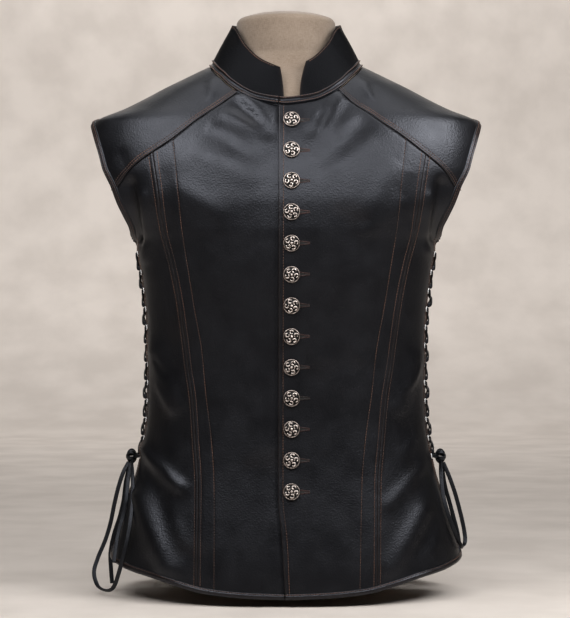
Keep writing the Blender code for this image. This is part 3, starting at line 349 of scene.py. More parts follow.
def ring_point(turn: Array, height: Array) -> Array:
    """Finds places on the plain outer surface.

    Args:
        turn: turns in degrees from the front.
        height: heights over the datum.

    Returns:
        The points in metres.
    """
    turn, height = np.broadcast_arrays(np.radians(turn), np.asarray(height, float))
    half = smooth(height, RINGS, 1)
    depth = np.where(np.cos(turn) >= 0, smooth(height, RINGS, 2), smooth(height, RINGS, 3))
    x = half * signed_power(np.sin(turn), 2 / SQUARENESS)
    y = -depth * signed_power(np.cos(turn), 2 / SQUARENESS)
    return np.stack([x, y, height + DATUM], axis=-1)


def ring_slopes(turn: Array, height: Array) -> tuple[Array, Array]:
    """Returns how the plain surface moves with each degree of turn and metre of height."""
    along = ring_point(turn + TURN_STEP, height) - ring_point(turn - TURN_STEP, height)
    up = ring_point(turn, height + HEIGHT_STEP) - ring_point(turn, height - HEIGHT_STEP)
    return along / (2 * TURN_STEP), up / (2 * HEIGHT_STEP)


def ring_normal(turn: Array, height: Array) -> Array:
    """Returns the outward normals of the plain surface."""
    along, up = ring_slopes(turn, height)
    return unit(np.cross(along, up))


def turn_at_x(x: Array, height: Array) -> Array:
    """Returns the front turn at which a ring reaches x."""
    share = np.clip(np.abs(x) / smooth(height, RINGS, 1), 0, 1)
    return np.sign(x) * np.degrees(np.arcsin(share ** (SQUARENESS / 2)))


def turn_at_depth(depth: Array, height: Array, face: int) -> Array:
    """Returns the turn on the +X side at a distance from the middle, at the front or back."""
    reach = smooth(height, RINGS, 2 if face > 0 else 3)
    turn = np.degrees(np.arccos(np.clip(depth / reach, 0, 1) ** (SQUARENESS / 2)))
    return turn if face > 0 else 180 - turn


def lengths(points: Array) -> Array:
    """Returns the length along a line at each of its points."""
    return np.concatenate([[0], np.cumsum(np.linalg.norm(np.diff(points, axis=0), axis=1))])


def read_along(line: Array, length: Array, at: Array) -> Array:
    """Returns the rows of a line at lengths along it, from the lengths of its own rows."""
    return np.stack([np.interp(at, length, column) for column in line.T], axis=1)


def at_heights(line: Array, heights: Array) -> Array:
    """Returns the places at which a rising line of turns and heights reaches some heights."""
    return np.stack([np.interp(heights, line[:, 1], line[:, 0]), heights], axis=1)


def at_x(x: Array | float, heights: Array) -> Array:
    """Returns the places on the front at x and some heights."""
    return np.stack([turn_at_x(x, heights), heights], axis=1)


def stations(line: Array, near: tuple, far: tuple, middle: int) -> Array:
    """Divides a line of turns and heights.

    Args:
        line: the dense line.
        near: distances of the first stations from the line's start.
        far: distances of the last stations from the line's end, nearest the end first.
        middle: how many stations lie evenly between them.

    Returns:
        The stations' turns and heights.
    """
    length = lengths(ring_point(*line.T))
    total = length[-1]
    inner = np.linspace(near[-1], total - far[-1], middle + 2)[1:-1]
    at = np.concatenate([near, inner, total - np.array(far)[::-1]])
    return read_along(line, length, at)


def curved(points: tuple, count: int = LINE_POINTS) -> Array:
    """Returns a dense smooth line through a few points given as pairs."""
    rows = [(key, *point) for key, point in enumerate(points)]
    at = np.linspace(0, len(points) - 1, count)
    return np.stack([smooth(at, rows, 1), smooth(at, rows, 2)], axis=1)


def between(line: Array, low: float, high: float) -> Array:
    """Returns the stretch of a rising line between two heights, with its ends on them."""
    height = line[:, 1]
    inner = line[(height > low) & (height < high)]
    ends = [(np.interp(z, height, line[:, 0]), z) for z in (low, high)]
    return np.vstack([ends[0], inner, ends[1]])


def shifted(line: Array, distance: float | Array) -> Array:
    """Moves a line sideways on the plain surface.

    Args:
        line: turns and heights.
        distance: how far it moves, to its left when positive, as one value or a column.

    Returns:
        The moved line.
    """
    turn, height = line[:, 0], line[:, 1]
    tangent = unit(np.gradient(ring_point(turn, height), axis=0))
    across = np.cross(ring_normal(turn, height), tangent) * distance
    along, up = ring_slopes(turn, height)
    aa, ab, bb = (along**2).sum(1), (along * up).sum(1), (up**2).sum(1)
    ra, rb = (along * across).sum(1), (up * across).sum(1)
    det = aa * bb - ab * ab
    return line + np.stack([(bb * ra - ab * rb) / det, (aa * rb - ab * ra) / det], axis=1)


def nearest(points: Array, path: Array) -> tuple[Array, Array]:
    """Measures points against a line.

    Args:
        points: the points.
        path: the line's own points.

    Returns:
        Each point's distance from the line, and the length along it of the nearest place.
    """
    start, run = path[:-1], np.diff(path, axis=0)
    square = np.maximum((run**2).sum(axis=1), 1e-18)
    length = lengths(path)
    away, along = np.empty(len(points)), np.empty(len(points))
    for first in range(0, len(points), CHUNK):
        block = points[first : first + CHUNK, None, :] - start[None]
        share = np.clip((block * run).sum(axis=2) / square, 0, 1)
        gap = np.linalg.norm(block - share[..., None] * run, axis=2)
        best = gap.argmin(axis=1)
        rows = np.arange(len(best))
        away[first : first + CHUNK] = gap[rows, best]
        along[first : first + CHUNK] = length[best] + share[rows, best] * np.sqrt(square[best])
    return away, along


def hem_height(turn: Array) -> Array:
    """Returns the hem's height at a turn, with the rounded corners at the laced side."""
    turn = np.abs(wrapped(turn))
    base = smooth(turn, HEM)
    edge = np.abs(ring_point(turn, base)[..., 1])
    room = np.clip(HEM_CORNER - (edge - LACE_EDGE_Y), 0, HEM_CORNER)
    return base + HEM_CORNER - np.sqrt(HEM_CORNER**2 - room**2)


def neck_height(turn: Array) -> Array:
    """Returns the height of the neck seam at a turn."""
    return smooth(np.abs(wrapped(turn)), NECK_SEAM)


def hem_line(start: float, end: float) -> Array:
    """Returns the hem between two turns."""
    turns = np.linspace(start, end, LINE_POINTS)
    return np.stack([turns, hem_height(turns)], axis=1)


def neck_line(start: float, end: float) -> Array:
    """Returns the neck seam between two turns."""
    turns = np.linspace(start, end, LINE_POINTS)
    return np.stack([turns, neck_height(turns)], axis=1)


def armhole_line(face: int) -> Array:
    """Returns the armhole's edge from the lacing up to the shoulder tip."""
    line = curved(ARMHOLE_FRONT if face > 0 else ARMHOLE_BACK)
    return np.stack([turn_at_depth(line[:, 0], line[:, 1], face), line[:, 1]], axis=1)


def laced_edge(face: int, count: int = LINE_POINTS) -> Array:
    """Returns a side's laced edge from the hem up to the armhole's corner."""
    foot = 90.0
    for _ in range(SETTLE_ROUNDS):
        foot = float(turn_at_depth(LACE_EDGE_Y, hem_height(foot), face))
    heights = np.linspace(float(hem_height(foot)), ARMHOLE_FRONT[0][1], count)
    return np.stack([turn_at_depth(LACE_EDGE_Y, heights, face), heights], axis=1)


def yoke_front_line(side: int) -> Array:
    """Returns a yoke's front edge from the neck to the armhole."""
    inner = [(float(turn_at_x(x, z)), z) for x, z in YOKE_FRONT[side]]
    armhole = armhole_line(+1)
    end = (float(np.interp(YOKE_FRONT_END, armhole[:, 1], armhole[:, 0])), YOKE_FRONT_END)
    start = (YOKE_NECK_TURN[side], float(neck_height(YOKE_NECK_TURN[side])))
    return curved((start, *inner, end))


def yoke_back_line() -> Array:
    """Returns the yoke's back edge from the neck to the armhole."""
    armhole = armhole_line(-1)
    end = (float(np.interp(YOKE_BACK_END, armhole[:, 1], armhole[:, 0])), YOKE_BACK_END)
    start = (YOKE_BACK_NECK_TURN, float(neck_height(YOKE_BACK_NECK_TURN)))
    return curved((start, *YOKE_BACK, end))


def line_to_yoke(table: tuple, side: int) -> Array:
    """Works out a line up the front, from the hem to the yoke's edge.

    Args:
        table: the line's heights and x.
        side: +1 for the wearer's left, -1 for the right.

    Returns:
        Turns and heights in the +X frame, with the last point on the yoke's edge.
    """
    foot = 0.0
    for _ in range(SETTLE_ROUNDS):
        x = smooth(foot, table) + side * smooth(foot, SEAM_SHIFT)
        foot = float(hem_height(turn_at_x(x, foot)))
    heights = np.linspace(foot, table[-1][0], LINE_POINTS)
    x = smooth(heights, table) + side * smooth(heights, SEAM_SHIFT)
    line = at_x(x, heights)
    yoke = yoke_front_line(side)
    end = yoke[np.hypot(*((yoke - line[-1]) * (DEGREE_LENGTH, 1)).T).argmin()]
    return np.vstack([line[line[:, 1] < end[1] - 0.001], end])


def beside(line: Array, way: int) -> Array:
    """Returns the row of stitches to the left (+1) or right (-1) of the shaped seam."""
    return shifted(line, way * smooth(line[:, 1], ROW_REACH)[:, None])


def shares(first: Array, second: Array) -> Array:
    """Returns the mean share of their own length at which two lines' stations stand."""
    found = []
    for line in (first, second):
        step = np.hypot(*(np.diff(line, axis=0) * (DEGREE_LENGTH, 1)).T)
        length = np.concatenate([[0], np.cumsum(step)])
        found.append(length / length[-1])
    return np.mean(found, axis=0)


def coons(left: Array, right: Array, bottom: Array, top: Array) -> Array:
    """Fills four edge lines with a grid.

    Args:
        left: stations up the left edge.
        right: as many stations up the right edge.
        bottom: stations along the lower edge.
        top: as many stations along the upper edge.

    Returns:
        A grid of turns and heights, rows from the bottom up.
    """
    left, right = left.copy(), right.copy()
    left[0], left[-1], right[0], right[-1] = bottom[0], top[0], bottom[-1], top[-1]
    v = shares(left, right)[:, None, None]
    u = shares(bottom, top)[None, :, None]
    across = (1 - u) * left[:, None] + u * right[:, None]
    upward = (1 - v) * bottom[None] + v * top[None]
    low = (1 - u) * bottom[0] + u * bottom[-1]
    high = (1 - u) * top[0] + u * top[-1]
    return across + upward - (1 - v) * low - v * high


def numbered(rows: int, columns: int) -> Array:
    """Returns the point numbers of a grid."""
    return np.arange(rows * columns).reshape(rows, columns)


def looped(index: Array) -> Array:
    """Returns a grid of point numbers whose rows come back to their first column."""
    return np.hstack([index, index[:, :1]])


def quads_of(index: Array) -> Array:
    """Returns the quads of a grid of point numbers, each turned outwards."""
    quads = np.stack([index[:-1, :-1], index[:-1, 1:], index[1:, 1:], index[1:, :-1]], axis=-1)
    return quads.reshape(-1, 4)


def border_of(quads: Array) -> Array:
    """Returns the open edges of a sheet of quads, as pairs of point numbers in face order."""
    edges = np.concatenate([np.stack([quads[:, k], quads[:, (k + 1) % 4]], 1) for k in range(4)])
    size = int(quads.max()) + 1
    forward = edges[:, 0] * size + edges[:, 1]
    backward = edges[:, 1] * size + edges[:, 0]
    return edges[~np.isin(forward, backward)]


class Slot(Enum):
    """The record's material slots that the pieces take their finish from."""

    LEATHER = "black_leather"
    TRIM = "black_leather_trim"
    PEWTER = "antique_pewter"
    THONG = "black_thong"
    LINEN = "beige_linen"


def linear(code: str) -> tuple[float, float, float, float]:
    """Returns an sRGB hex value as a linear colour."""
    parts = [int(code[k : k + 2], 16) / 255 for k in (0, 2, 4)]
    return (*[p / 12.92 if p <= 0.04045 else ((p + 0.055) / 1.055) ** 2.4 for p in parts], 1.0)


def feed(tree: Tree, node: Node, inputs: dict) -> Node:
    """Gives a node's inputs their values, or links them to other nodes' outputs."""
    for name, value in inputs.items():
        if isinstance(value, Socket):
            tree.links.new(value, node.inputs[name])
        else:
            node.inputs[name].default_value = value
    return node


def add_node(tree: Tree, kind: str, inputs: dict, **settings: object) -> Node:
    """Adds a node with its settings and links.

    Args:
        tree: the material's nodes.
        kind: the node's type.
        inputs: for each input's name or number, a value or another node's output.
        settings: the node's own properties.

    Returns:
        The node.
    """
    node = tree.nodes.new(kind)
    for name, value in settings.items():
        setattr(node, name, value)
    return feed(tree, node, inputs)


def ramp(tree: Tree, value: Socket, stops: tuple) -> Socket:
    """Returns a colour that follows a value through stops of place and hex colour."""
    node = add_node(tree, "ShaderNodeValToRGB", {0: value})
    elements = node.color_ramp.elements
    while len(elements) < len(stops):
        elements.new(1.0)
    for element, (place, code) in zip(elements, stops):
        element.position = place
        element.color = linear(code)
    return node.outputs["Color"]


def spread(tree: Tree, value: Socket, low: float, high: float) -> Socket:
    """Returns a value from 0.3 to 0.7 mapped to a range."""
    settings = {0: value, 1: 0.3, 2: 0.7, 3: low, 4: high}
    return add_node(tree, "ShaderNodeMapRange", settings).outputs[0]


@dataclass(frozen=True)
class Finish:
    """What every finish has: its name and its shader."""

    name: str

    def start(self) -> tuple[Material, Tree, Node]:
        """Returns a new material, its nodes and its shader."""
        material = bpy.data.materials.new(self.name)
        material.use_nodes = True
        tree = material.node_tree
        return material, tree, tree.nodes["Principled BSDF"]

    def noise(self, tree: Tree, size: float, detail: float = 2.0) -> Socket:
        """Returns a noise value whose blotches are about a size in metres."""
        place = add_node(tree, "ShaderNodeTexCoord", {}).outputs["Object"]
        inputs = {"Vector": place, "Scale": 1 / size, "Detail": detail}
        return add_node(tree, "ShaderNodeTexNoise", inputs).outputs[0]

    def bump(
        self,
        tree: Tree,
        height: Socket,
        distance: float,
        strength: float,
        *under: Socket,
    ) -> Socket:
        """Returns the normals of a bumped surface, on top of another bump's if one is given."""
        inputs = {"Height": height, "Distance": distance, "Strength": strength}
        inputs.update({"Normal": normal for normal in under})
        return add_node(tree, "ShaderNodeBump", inputs).outputs[0]


@dataclass(frozen=True)
class Leather(Finish):
    """Finished cowhide, drum dyed black: its fine pebble grain and soft dents catch the light."""

    base: str = "08080a"
    worn: str = "2c2420"
    brown: str = "0e0b0a"
    rough: tuple[float, float] = (0.34, 0.44)
    grain: float = 0.0019
    depth: float = 0.00030
    level: float = 0.42

    def build(self) -> Material:
        """Returns the material. The grain is drawn twice as coarse as real, so that it shows."""
        material, tree, shader = self.start()
        place = add_node(tree, "ShaderNodeTexCoord", {}).outputs["Object"]
        wear = add_node(tree, "ShaderNodeAttribute", {}, attribute_name="wear").outputs["Fac"]
        stops = ((0.35, self.base), (0.62, self.base), (0.78, self.brown))
        dyed = ramp(tree, self.noise(tree, 0.09), stops)
        inputs = {0: wear, 1: self.noise(tree, 0.006)}
        amount = add_node(tree, "ShaderNodeMath", inputs, operation="MULTIPLY")
        inputs = {0: amount.outputs[0], 6: dyed, 7: linear(self.worn)}
        mixed = add_node(tree, "ShaderNodeMix", inputs, data_type="RGBA")
        inputs = {"Vector": place, "Scale": 1 / self.grain, "Randomness": 0.9}
        cells = add_node(tree, "ShaderNodeTexVoronoi", inputs, feature="SMOOTH_F1")
        soft = self.bump(tree, self.noise(tree, 0.011, 3.0), 0.0004, 0.5)
        looks = {
            "Base Color": mixed.outputs[2],
            "Roughness": spread(tree, self.noise(tree, 0.03), *self.rough),
            "Specular IOR Level": self.level,
            "Specular Tint": linear("e8ecfa"),
            "Normal": self.bump(tree, cells.outputs["Distance"], self.depth, 0.75, soft),
        }
        feed(tree, shader, looks)
        return material


@dataclass(frozen=True)
class Thread(Finish):
    """Bonded rust thread: twisted, so each stitch is lit unevenly along its length."""

    light: str = "60402f"
    dark: str = "342017"

    def build(self) -> Material:
        """Returns the material, with a twist of the thread's own thickness."""
        material, tree, shader = self.start()
        tint = ramp(tree, self.noise(tree, 0.05), ((0.35, self.dark), (0.65, self.light)))
        twist = self.bump(tree, self.noise(tree, 0.0004), 0.0001, 0.5)
        feed(tree, shader, {"Base Color": tint, "Roughness": 0.55, "Normal": twist})
        return material


@dataclass(frozen=True)
class Metal(Finish):
    """Cast metal, polished on its high places: the colour runs from tarnish to bright."""

    bright: str = "aea29b"
    tarnish: str = "736964"
    rough: tuple[float, float] = (0.36, 0.5)
    metallic: float = 1.0

    def build(self) -> Material:
        """Returns the material, with casting unevenness of about a millimetre."""
        material, tree, shader = self.start()
        tint = ramp(tree, self.noise(tree, 0.002), ((0.35, self.tarnish), (0.6, self.bright)))
        looks = {
            "Base Color": tint,
            "Roughness": spread(tree, self.noise(tree, 0.003), *self.rough),
            "Metallic": self.metallic,
            "Normal": self.bump(tree, self.noise(tree, 0.0012), 0.0001, 0.4),
        }
        feed(tree, shader, looks)
        return material


@dataclass(frozen=True)
class Linen(Finish):
    """Plain woven linen over a rigid form: slubs of uneven thread, matt, a little fuzzy."""

    light: str = "7f7164"
    dark: str = "6c5e51"
    thread: float = 0.0016

    def build(self) -> Material:
        """Returns the material. The weave is drawn three times as coarse as real, to show."""
        material, tree, shader = self.start()
        place = add_node(tree, "ShaderNodeTexCoord", {}).outputs["Object"]
        cloud = self.noise(tree, 0.05, 4.0)
        heights = []
        for stretch in ((1.0, 1.0, 9.0), (7.0, 7.0, 1.0)):
            scale = tuple(s / 9 for s in stretch)
            turned = add_node(tree, "ShaderNodeMapping", {"Vector": place, "Scale": scale})
            inputs = {"Vector": turned.outputs[0], "Scale": 9 / self.thread / 3, "Detail": 1.0}
            heights.append(add_node(tree, "ShaderNodeTexNoise", inputs).outputs[0])
        weave = add_node(tree, "ShaderNodeMath", {0: heights[0], 1: heights[1]}, operation="ADD")
        half = add_node(tree, "ShaderNodeMath", {0: weave.outputs[0], 1: cloud}, operation="ADD")
        inputs = {0: half.outputs[0], 1: 1 / 3}
        third = add_node(tree, "ShaderNodeMath", inputs, operation="MULTIPLY")
        looks = {
            "Base Color": ramp(tree, third.outputs[0], ((0.38, self.dark), (0.6, self.light))),
            "Roughness": 0.9,
            "Specular IOR Level": 0.2,
            "Sheen Weight": 0.15,
            "Normal": self.bump(tree, weave.outputs[0], 0.0003, 0.35),
        }
        feed(tree, shader, looks)
        return material


@dataclass
class Wardrobe:
    """All the finishes, each built once."""

    leather: Material = field(default_factory=Leather("drum_dyed_cowhide").build)
    # The bands' edges are burnished by hand, which leaves them glossier and worn browner.
    trim: Material = field(
        default_factory=Leather("edge_dressed_cowhide", rough=(0.3, 0.44), worn="3a2e28").build
    )
    # The collar's leather is a darker, less glossy copy of the panels': painted shade, that keeps
    # the collar black under the lights.
    collar: Material = field(
        default_factory=Leather(
            "collar_cowhide_painted_shade", "050506", brown="0a0807", rough=(0.42, 0.52), level=0.07
        ).build
    )
    # The thong is oil tanned latigo cut in flat strips: waxy, rather matt, fine in its grain.
    thong: Material = field(
        default_factory=Leather(
            "latigo_thong", "0a0b0d", "2c2420", "0c0c0e", (0.40, 0.54), grain=0.0012, level=0.36
        ).build
    )
    thread: Material = field(default_factory=Thread("bonded_rust_thread").build)
    # The buttonholes' thread is darker than the rows'.
    buttonhole: Material = field(
        default_factory=Thread("dark_buttonhole_thread", "3a1b15", "1a0c0a").build
    )
    # The rim keeps the grey of cast pewter, and the raised curls are rubbed bright by hands.
    pewter: Material = field(default_factory=Metal("cast_pewter").build)
    polished: Material = field(
        default_factory=Metal("rubbed_pewter", "dacfc8", "998e88", (0.24, 0.4)).build
    )
    # The plate behind the openwork is blackened, and no bare metal shows there. The same finish is
    # painted shade on the buttonhole slits.
    oxide_and_shade: Material = field(
        default_factory=Metal("oxidised_pewter_and_slit_shade", "0d0c0c", "060606", (0.6, 0.8), 0.0).build
    )
    # The eyelets are pressed brass under nickel plate, mottled from dark grey to pale.
    nickel: Material = field(
        default_factory=Metal("mottled_nickel_plate", "a39d95", "3f3c3a", (0.22, 0.42)).build
    )
    linen: Material = field(default_factory=Linen("woven_linen").build)


def new_piece(name: str, points: Array, faces: list, materials: list) -> Object:
    """Makes a smooth shaded mesh object at the origin.

    Args:
        name: the piece's name.
        points: its points.
        faces: its faces, as lists of point numbers.
        materials: its materials, in slot order.

    Returns:
        The object.
    """
    mesh = bpy.data.meshes.new(name)
    mesh.from_pydata(points.tolist(), [], [list(map(int, face)) for face in faces])
    for material in materials:
        mesh.materials.append(material)
    mesh.shade_smooth()
    obj = bpy.data.objects.new(name, mesh)
    bpy.context.scene.collection.objects.link(obj)
    return obj


def set_wear(obj: Object, values: Array) -> None:
    """Gives each point its share of wear, which the leather's finish reads."""
    wear = obj.data.attributes.new("wear", "FLOAT", "POINT")
    wear.data.foreach_set("value", values.astype(np.float32))


def report(obj: Object, slot: Slot, *nodes: str) -> Object:
    """Rides a piece on the vest's one body, and hides the nodes it stands for."""
    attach(obj, "root")
    if nodes:
        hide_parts(*nodes)
    LOG.info("%s: %d faces", obj.name, len(obj.data.polygons) if obj.type == "MESH" else 0)
    return obj


def leaf_area(obj: Object) -> float:
    """Returns the area of a closed shell's one leaf in square metres."""
    area = 0.5 * sum(polygon.area for polygon in obj.data.polygons)
    LOG.info("%s measures %.4f square metres", obj.name, area)
    return area


@dataclass(frozen=True)
class Feature:
    """A line on the leather and the small ridges and grooves that run along it."""

    line: Array
    ridges: tuple
    pucker: float = 0.25
    pucker_length: float = 0.011

    def rise(self, points: Array) -> Array:
        """Returns how far the leather rises at points on the plain surface."""
        away, along = nearest(points, ring_point(self.line[:, 0], self.line[:, 1]))
        total = np.zeros(len(points))
        for distance, rise, width in self.ridges:
            total += rise * swell(away - distance, width)
        wave = np.sin(2 * math.pi * along / self.pucker_length + 1.7 * np.sin(along * 43))
        return total * (1 + self.pucker * wave)


# Ridges and grooves beside an edge or a row: distance from it, rise, half width.
SEAM_RIDGES = ((0.0020, 0.00045, 0.0015), (0.0072, 0.00018, 0.0014))
LAP_RIDGES = ((0.0015, 0.00045, 0.0018), (0.0055, -0.00025, 0.0007), (0.0078, 0.00015, 0.0012))
LAP_SHADE = ((0.0, -0.0020, 0.0036),)
YOKE_RIDGES = (
    (0.0012, 0.00050, 0.0018),
    (0.0026, -0.00020, 0.0006),
    (0.0042, 0.00032, 0.0013),
    (0.0059, -0.00022, 0.0006),
)
LACED_RIDGES = ((0.0015, 0.00030, 0.0015), (0.0030, -0.00020, 0.0006), (0.0165, -0.00022, 0.0007))
ROW_RIDGES = ((0.0, -0.00028, 0.0007), (0.0024, 0.00018, 0.0014))
ROW_DENT = ((0.0, -0.00025, 0.0007),)
# How far the rows of stitches stand from the lap's edge, the yokes' and the laced ones.
LAP_ROW = 0.0055
YOKE_ROWS = (0.0026, 0.0059)
LACED_ROWS = (0.0030, 0.0165)


@dataclass(frozen=True)
class Crease:
    """A soft ridge, or a trough if its rise is negative, that fades out at both ends."""

    side: int
    face: int
    route: tuple
    rise: float
    width: float

    @cached_property
    def path(self) -> Array:
        """The points of the crease's middle line."""
        places = curved(self.route, 24)
        turns = turn_at_x(places[:, 0], places[:, 1])
        path = ring_point(turns if self.face > 0 else 180 - turns, places[:, 1])
        return path * (self.side, 1, 1)

    def lift(self, points: Array) -> Array:
        """Returns the crease's rise at points on the plain surface."""
        path = self.path
        low, high = path.min(axis=0) - 4 * self.width, path.max(axis=0) + 4 * self.width
        close = np.all((points > low) & (points < high), axis=1)
        rise = np.zeros(len(points))
        if close.any():
            away, along = nearest(points[close], path)
            share = 2 * along / lengths(path)[-1] - 1
            fade = 1 - share**4
            rise[close] = self.rise * swell(away, self.width) * fade
        return rise


# Smaller creases: side, face, x and height of points along them, rise, half width.
CREASES = (
    Crease(-1, 1, ((0.082, 0.607), (0.056, 0.597), (0.030, 0.583)), 0.0030, 0.0060),
    Crease(-1, 1, ((0.064, 0.622), (0.048, 0.606), (0.034, 0.586)), -0.0027, 0.0052),
    Crease(-1, 1, ((0.046, 0.612), (0.030, 0.590), (0.020, 0.570)), -0.0027, 0.0058),
    Crease(-1, 1, ((0.100, 0.590), (0.070, 0.578), (0.040, 0.556)), 0.0020, 0.0075),
    Crease(-1, 1, ((0.150, 0.520), (0.115, 0.500), (0.070, 0.470)), 0.0016, 0.0120),
    Crease(-1, 1, ((0.125, 0.560), (0.080, 0.545), (0.030, 0.515)), 0.0018, 0.0160),
    Crease(-1, 1, ((0.095, 0.585), (0.060, 0.566), (0.025, 0.545)), -0.0014, 0.0130),
    Crease(-1, 1, ((0.150, 0.540), (0.143, 0.500), (0.150, 0.455)), -0.0012, 0.0100),
    Crease(1, 1, ((0.052, 0.612), (0.040, 0.592), (0.034, 0.572)), -0.0029, 0.0058),
    Crease(1, 1, ((0.040, 0.616), (0.034, 0.600), (0.030, 0.584)), 0.0022, 0.0048),
    Crease(1, 1, ((0.088, 0.604), (0.072, 0.588), (0.060, 0.566)), 0.0018, 0.0070),
    Crease(1, 1, ((0.150, 0.500), (0.120, 0.470), (0.085, 0.450)), 0.0014, 0.0120),
    Crease(1, 1, ((0.110, 0.575), (0.085, 0.555), (0.050, 0.530)), 0.0009, 0.0120),
    Crease(1, 1, ((0.140, 0.545), (0.120, 0.505), (0.100, 0.470)), 0.0014, 0.0150),
    Crease(1, 1, ((0.156, 0.530), (0.152, 0.500), (0.158, 0.460)), -0.0012, 0.0100),
    Crease(-1, 1, ((0.168, 0.300), (0.160, 0.288), (0.150, 0.272)), -0.0013, 0.0050),
    Crease(-1, 1, ((0.166, 0.268), (0.152, 0.245), (0.138, 0.224)), 0.0015, 0.0060),
    Crease(-1, 1, ((0.168, 0.176), (0.160, 0.160), (0.150, 0.146)), -0.0012, 0.0050),
    Crease(-1, 1, ((0.178, 0.160), (0.160, 0.126), (0.136, 0.090)), -0.0017, 0.0100),
    Crease(-1, 1, ((0.150, 0.120), (0.136, 0.090), (0.124, 0.060)), 0.0018, 0.0080),
    Crease(-1, 1, ((0.190, 0.100), (0.180, 0.070), (0.168, 0.045)), 0.0010, 0.0090),
    Crease(1, 1, ((0.172, 0.290), (0.162, 0.270), (0.150, 0.255)), 0.0013, 0.0060),
    Crease(1, 1, ((0.170, 0.205), (0.156, 0.185), (0.140, 0.170)), 0.0010, 0.0090),
    Crease(1, 1, ((0.186, 0.110), (0.178, 0.078), (0.160, 0.050)), -0.0008, 0.0090),
    Crease(1, 1, ((0.196, 0.092), (0.190, 0.066), (0.180, 0.050)), 0.0008, 0.0080),
    Crease(-1, 1, ((0.095, 0.655), (0.093, 0.640), (0.094, 0.622)), 0.0018, 0.0050),
    Crease(1, 1, ((0.098, 0.655), (0.100, 0.640), (0.108, 0.622)), 0.0018, 0.0050),
    Crease(-1, 1, ((0.215, 0.560), (0.205, 0.548), (0.200, 0.530)), -0.0016, 0.0070),
    Crease(-1, -1, ((0.160, 0.300), (0.120, 0.282), (0.080, 0.275)), 0.0018, 0.0080),
    Crease(1, -1, ((0.158, 0.318), (0.118, 0.300), (0.070, 0.290)), 0.0016, 0.0080),
    Crease(-1, -1, ((0.120, 0.560), (0.070, 0.530), (0.020, 0.520)), 0.0014, 0.0150),
    Crease(1, -1, ((0.130, 0.550), (0.080, 0.522), (0.030, 0.510)), 0.0014, 0.0150),
    Crease(-1, -1, ((0.140, 0.120), (0.110, 0.085), (0.090, 0.045)), 0.0022, 0.0120),
    Crease(1, -1, ((0.085, 0.130), (0.070, 0.090), (0.060, 0.045)), 0.0020, 0.0130),
)


def fold_lift(points: Array) -> Array:
    """Returns how far the folds and creases lift the leather at points on the plain surface."""
    x, y, height = points[:, 0], points[:, 1], points[:, 2] - DATUM
    rise = np.zeros(len(points))
    for side, face, x0, z0, x1, z1, crest, width in FOLDS:
        run, drop = side * (x1 - x0), z1 - z0
        reach = ((x - side * x0) * run + (height - z0) * drop) / (run * run + drop * drop)
        reach = np.clip(reach, 0, 1)
        away = np.hypot(x - side * x0 - reach * run, height - z0 - reach * drop)
        rise += crest * (face * y < 0) * swell(away, width)
    for crease in CREASES:
        rise += crease.lift(points)
    return rise


def sink_at(x: Array) -> Array:
    """Returns how deep the covered front lies at x."""
    start, end = UNDERLAP_EASE
    return UNDERLAP_SINK * eased((x - start) / (end - start))


@dataclass
class Stitching:
    """Rows of short stitches, each a bowed strand whose ends dive into the leather."""

    pitch: float = 0.0034
    stitch: float = 0.0027
    radius: float = 0.00038
    sides: int = 5
    look: float = 0.0008
    bow: tuple = ((-0.5, -0.7), (-0.38, 0.35), (0.0, 0.75), (0.38, 0.35), (0.5, -0.7))

    def template(self) -> tuple[Array, Array]:
        """Returns one stitch's points, along, across and out, and its quads."""
        angle = 2 * math.pi * np.arange(self.sides) / self.sides
        rings = []
        for share, out in self.bow:
            thick = self.radius * (0.75 if abs(share) > 0.4 else 1.0)
            ring = [np.full(self.sides, share * self.stitch), thick * np.cos(angle)]
            rings.append(np.stack([*ring, out * self.radius + thick * np.sin(angle)], axis=1))
        index = numbered(len(self.bow), self.sides)
        return np.vstack(rings), quads_of(looped(index))[:, ::-1]

    def along(self, points: Array, normals: Array) -> tuple[Array, Array]:
        """Lays stitches along a dense line of points on the leather.

        Args:
            points: the line's points.
            normals: the leather's normals there.

        Returns:
            The stitches' points and quads.
        """
        length = lengths(points)
        count = max(int(length[-1] / self.pitch), 1)
        at = (np.arange(count) + 0.5) * length[-1] / count
        centre, out = read_along(points, length, at), unit(read_along(normals, length, at))
        ahead, behind = (read_along(points, length, at + way * self.look) for way in (1, -1))
        forward = unit(ahead - behind)
        across = np.cross(out, forward)
        shape, quads = self.template()
        placed = (
            centre[:, None]
            + shape[None, :, :1] * forward[:, None]
            + shape[None, :, 1:2] * across[:, None]
            + shape[None, :, 2:] * out[:, None]
        )
        first = len(shape) * np.arange(count)[:, None, None]
        return placed.reshape(-1, 3), (quads[None] + first).reshape(-1, 4)

    def piece(self, name: str, lines: list, material: Material) -> Object:
        """Makes one object of the stitches along several lines of points and normals."""
        points, faces, start = [], [], 0
        for line, normals in lines:
            made, quads = self.along(line, normals)
            points.append(made)
            faces.append(quads + start)
            start += len(made)
        return new_piece(name, np.vstack(points), np.vstack(faces), [material])


def sew(
    obj: Object,
    node: str,
    slots: tuple[Slot, Slot],
    lines: list,
    thread: Material,
) -> None:
    """Reports a leather piece, sews its rows and logs its area.

    Args:
        obj: the leather.
        node: the node that it stands for.
        slots: the material slots of the leather and of its stitches.
        lines: the rows' points and normals.
        thread: the stitches' finish.
    """
    report(obj, slots[0], node)
    stitches = Stitching().piece(f"{node}_stitches", lines, thread)
    report(stitches, slots[1])
    leaf_area(obj)


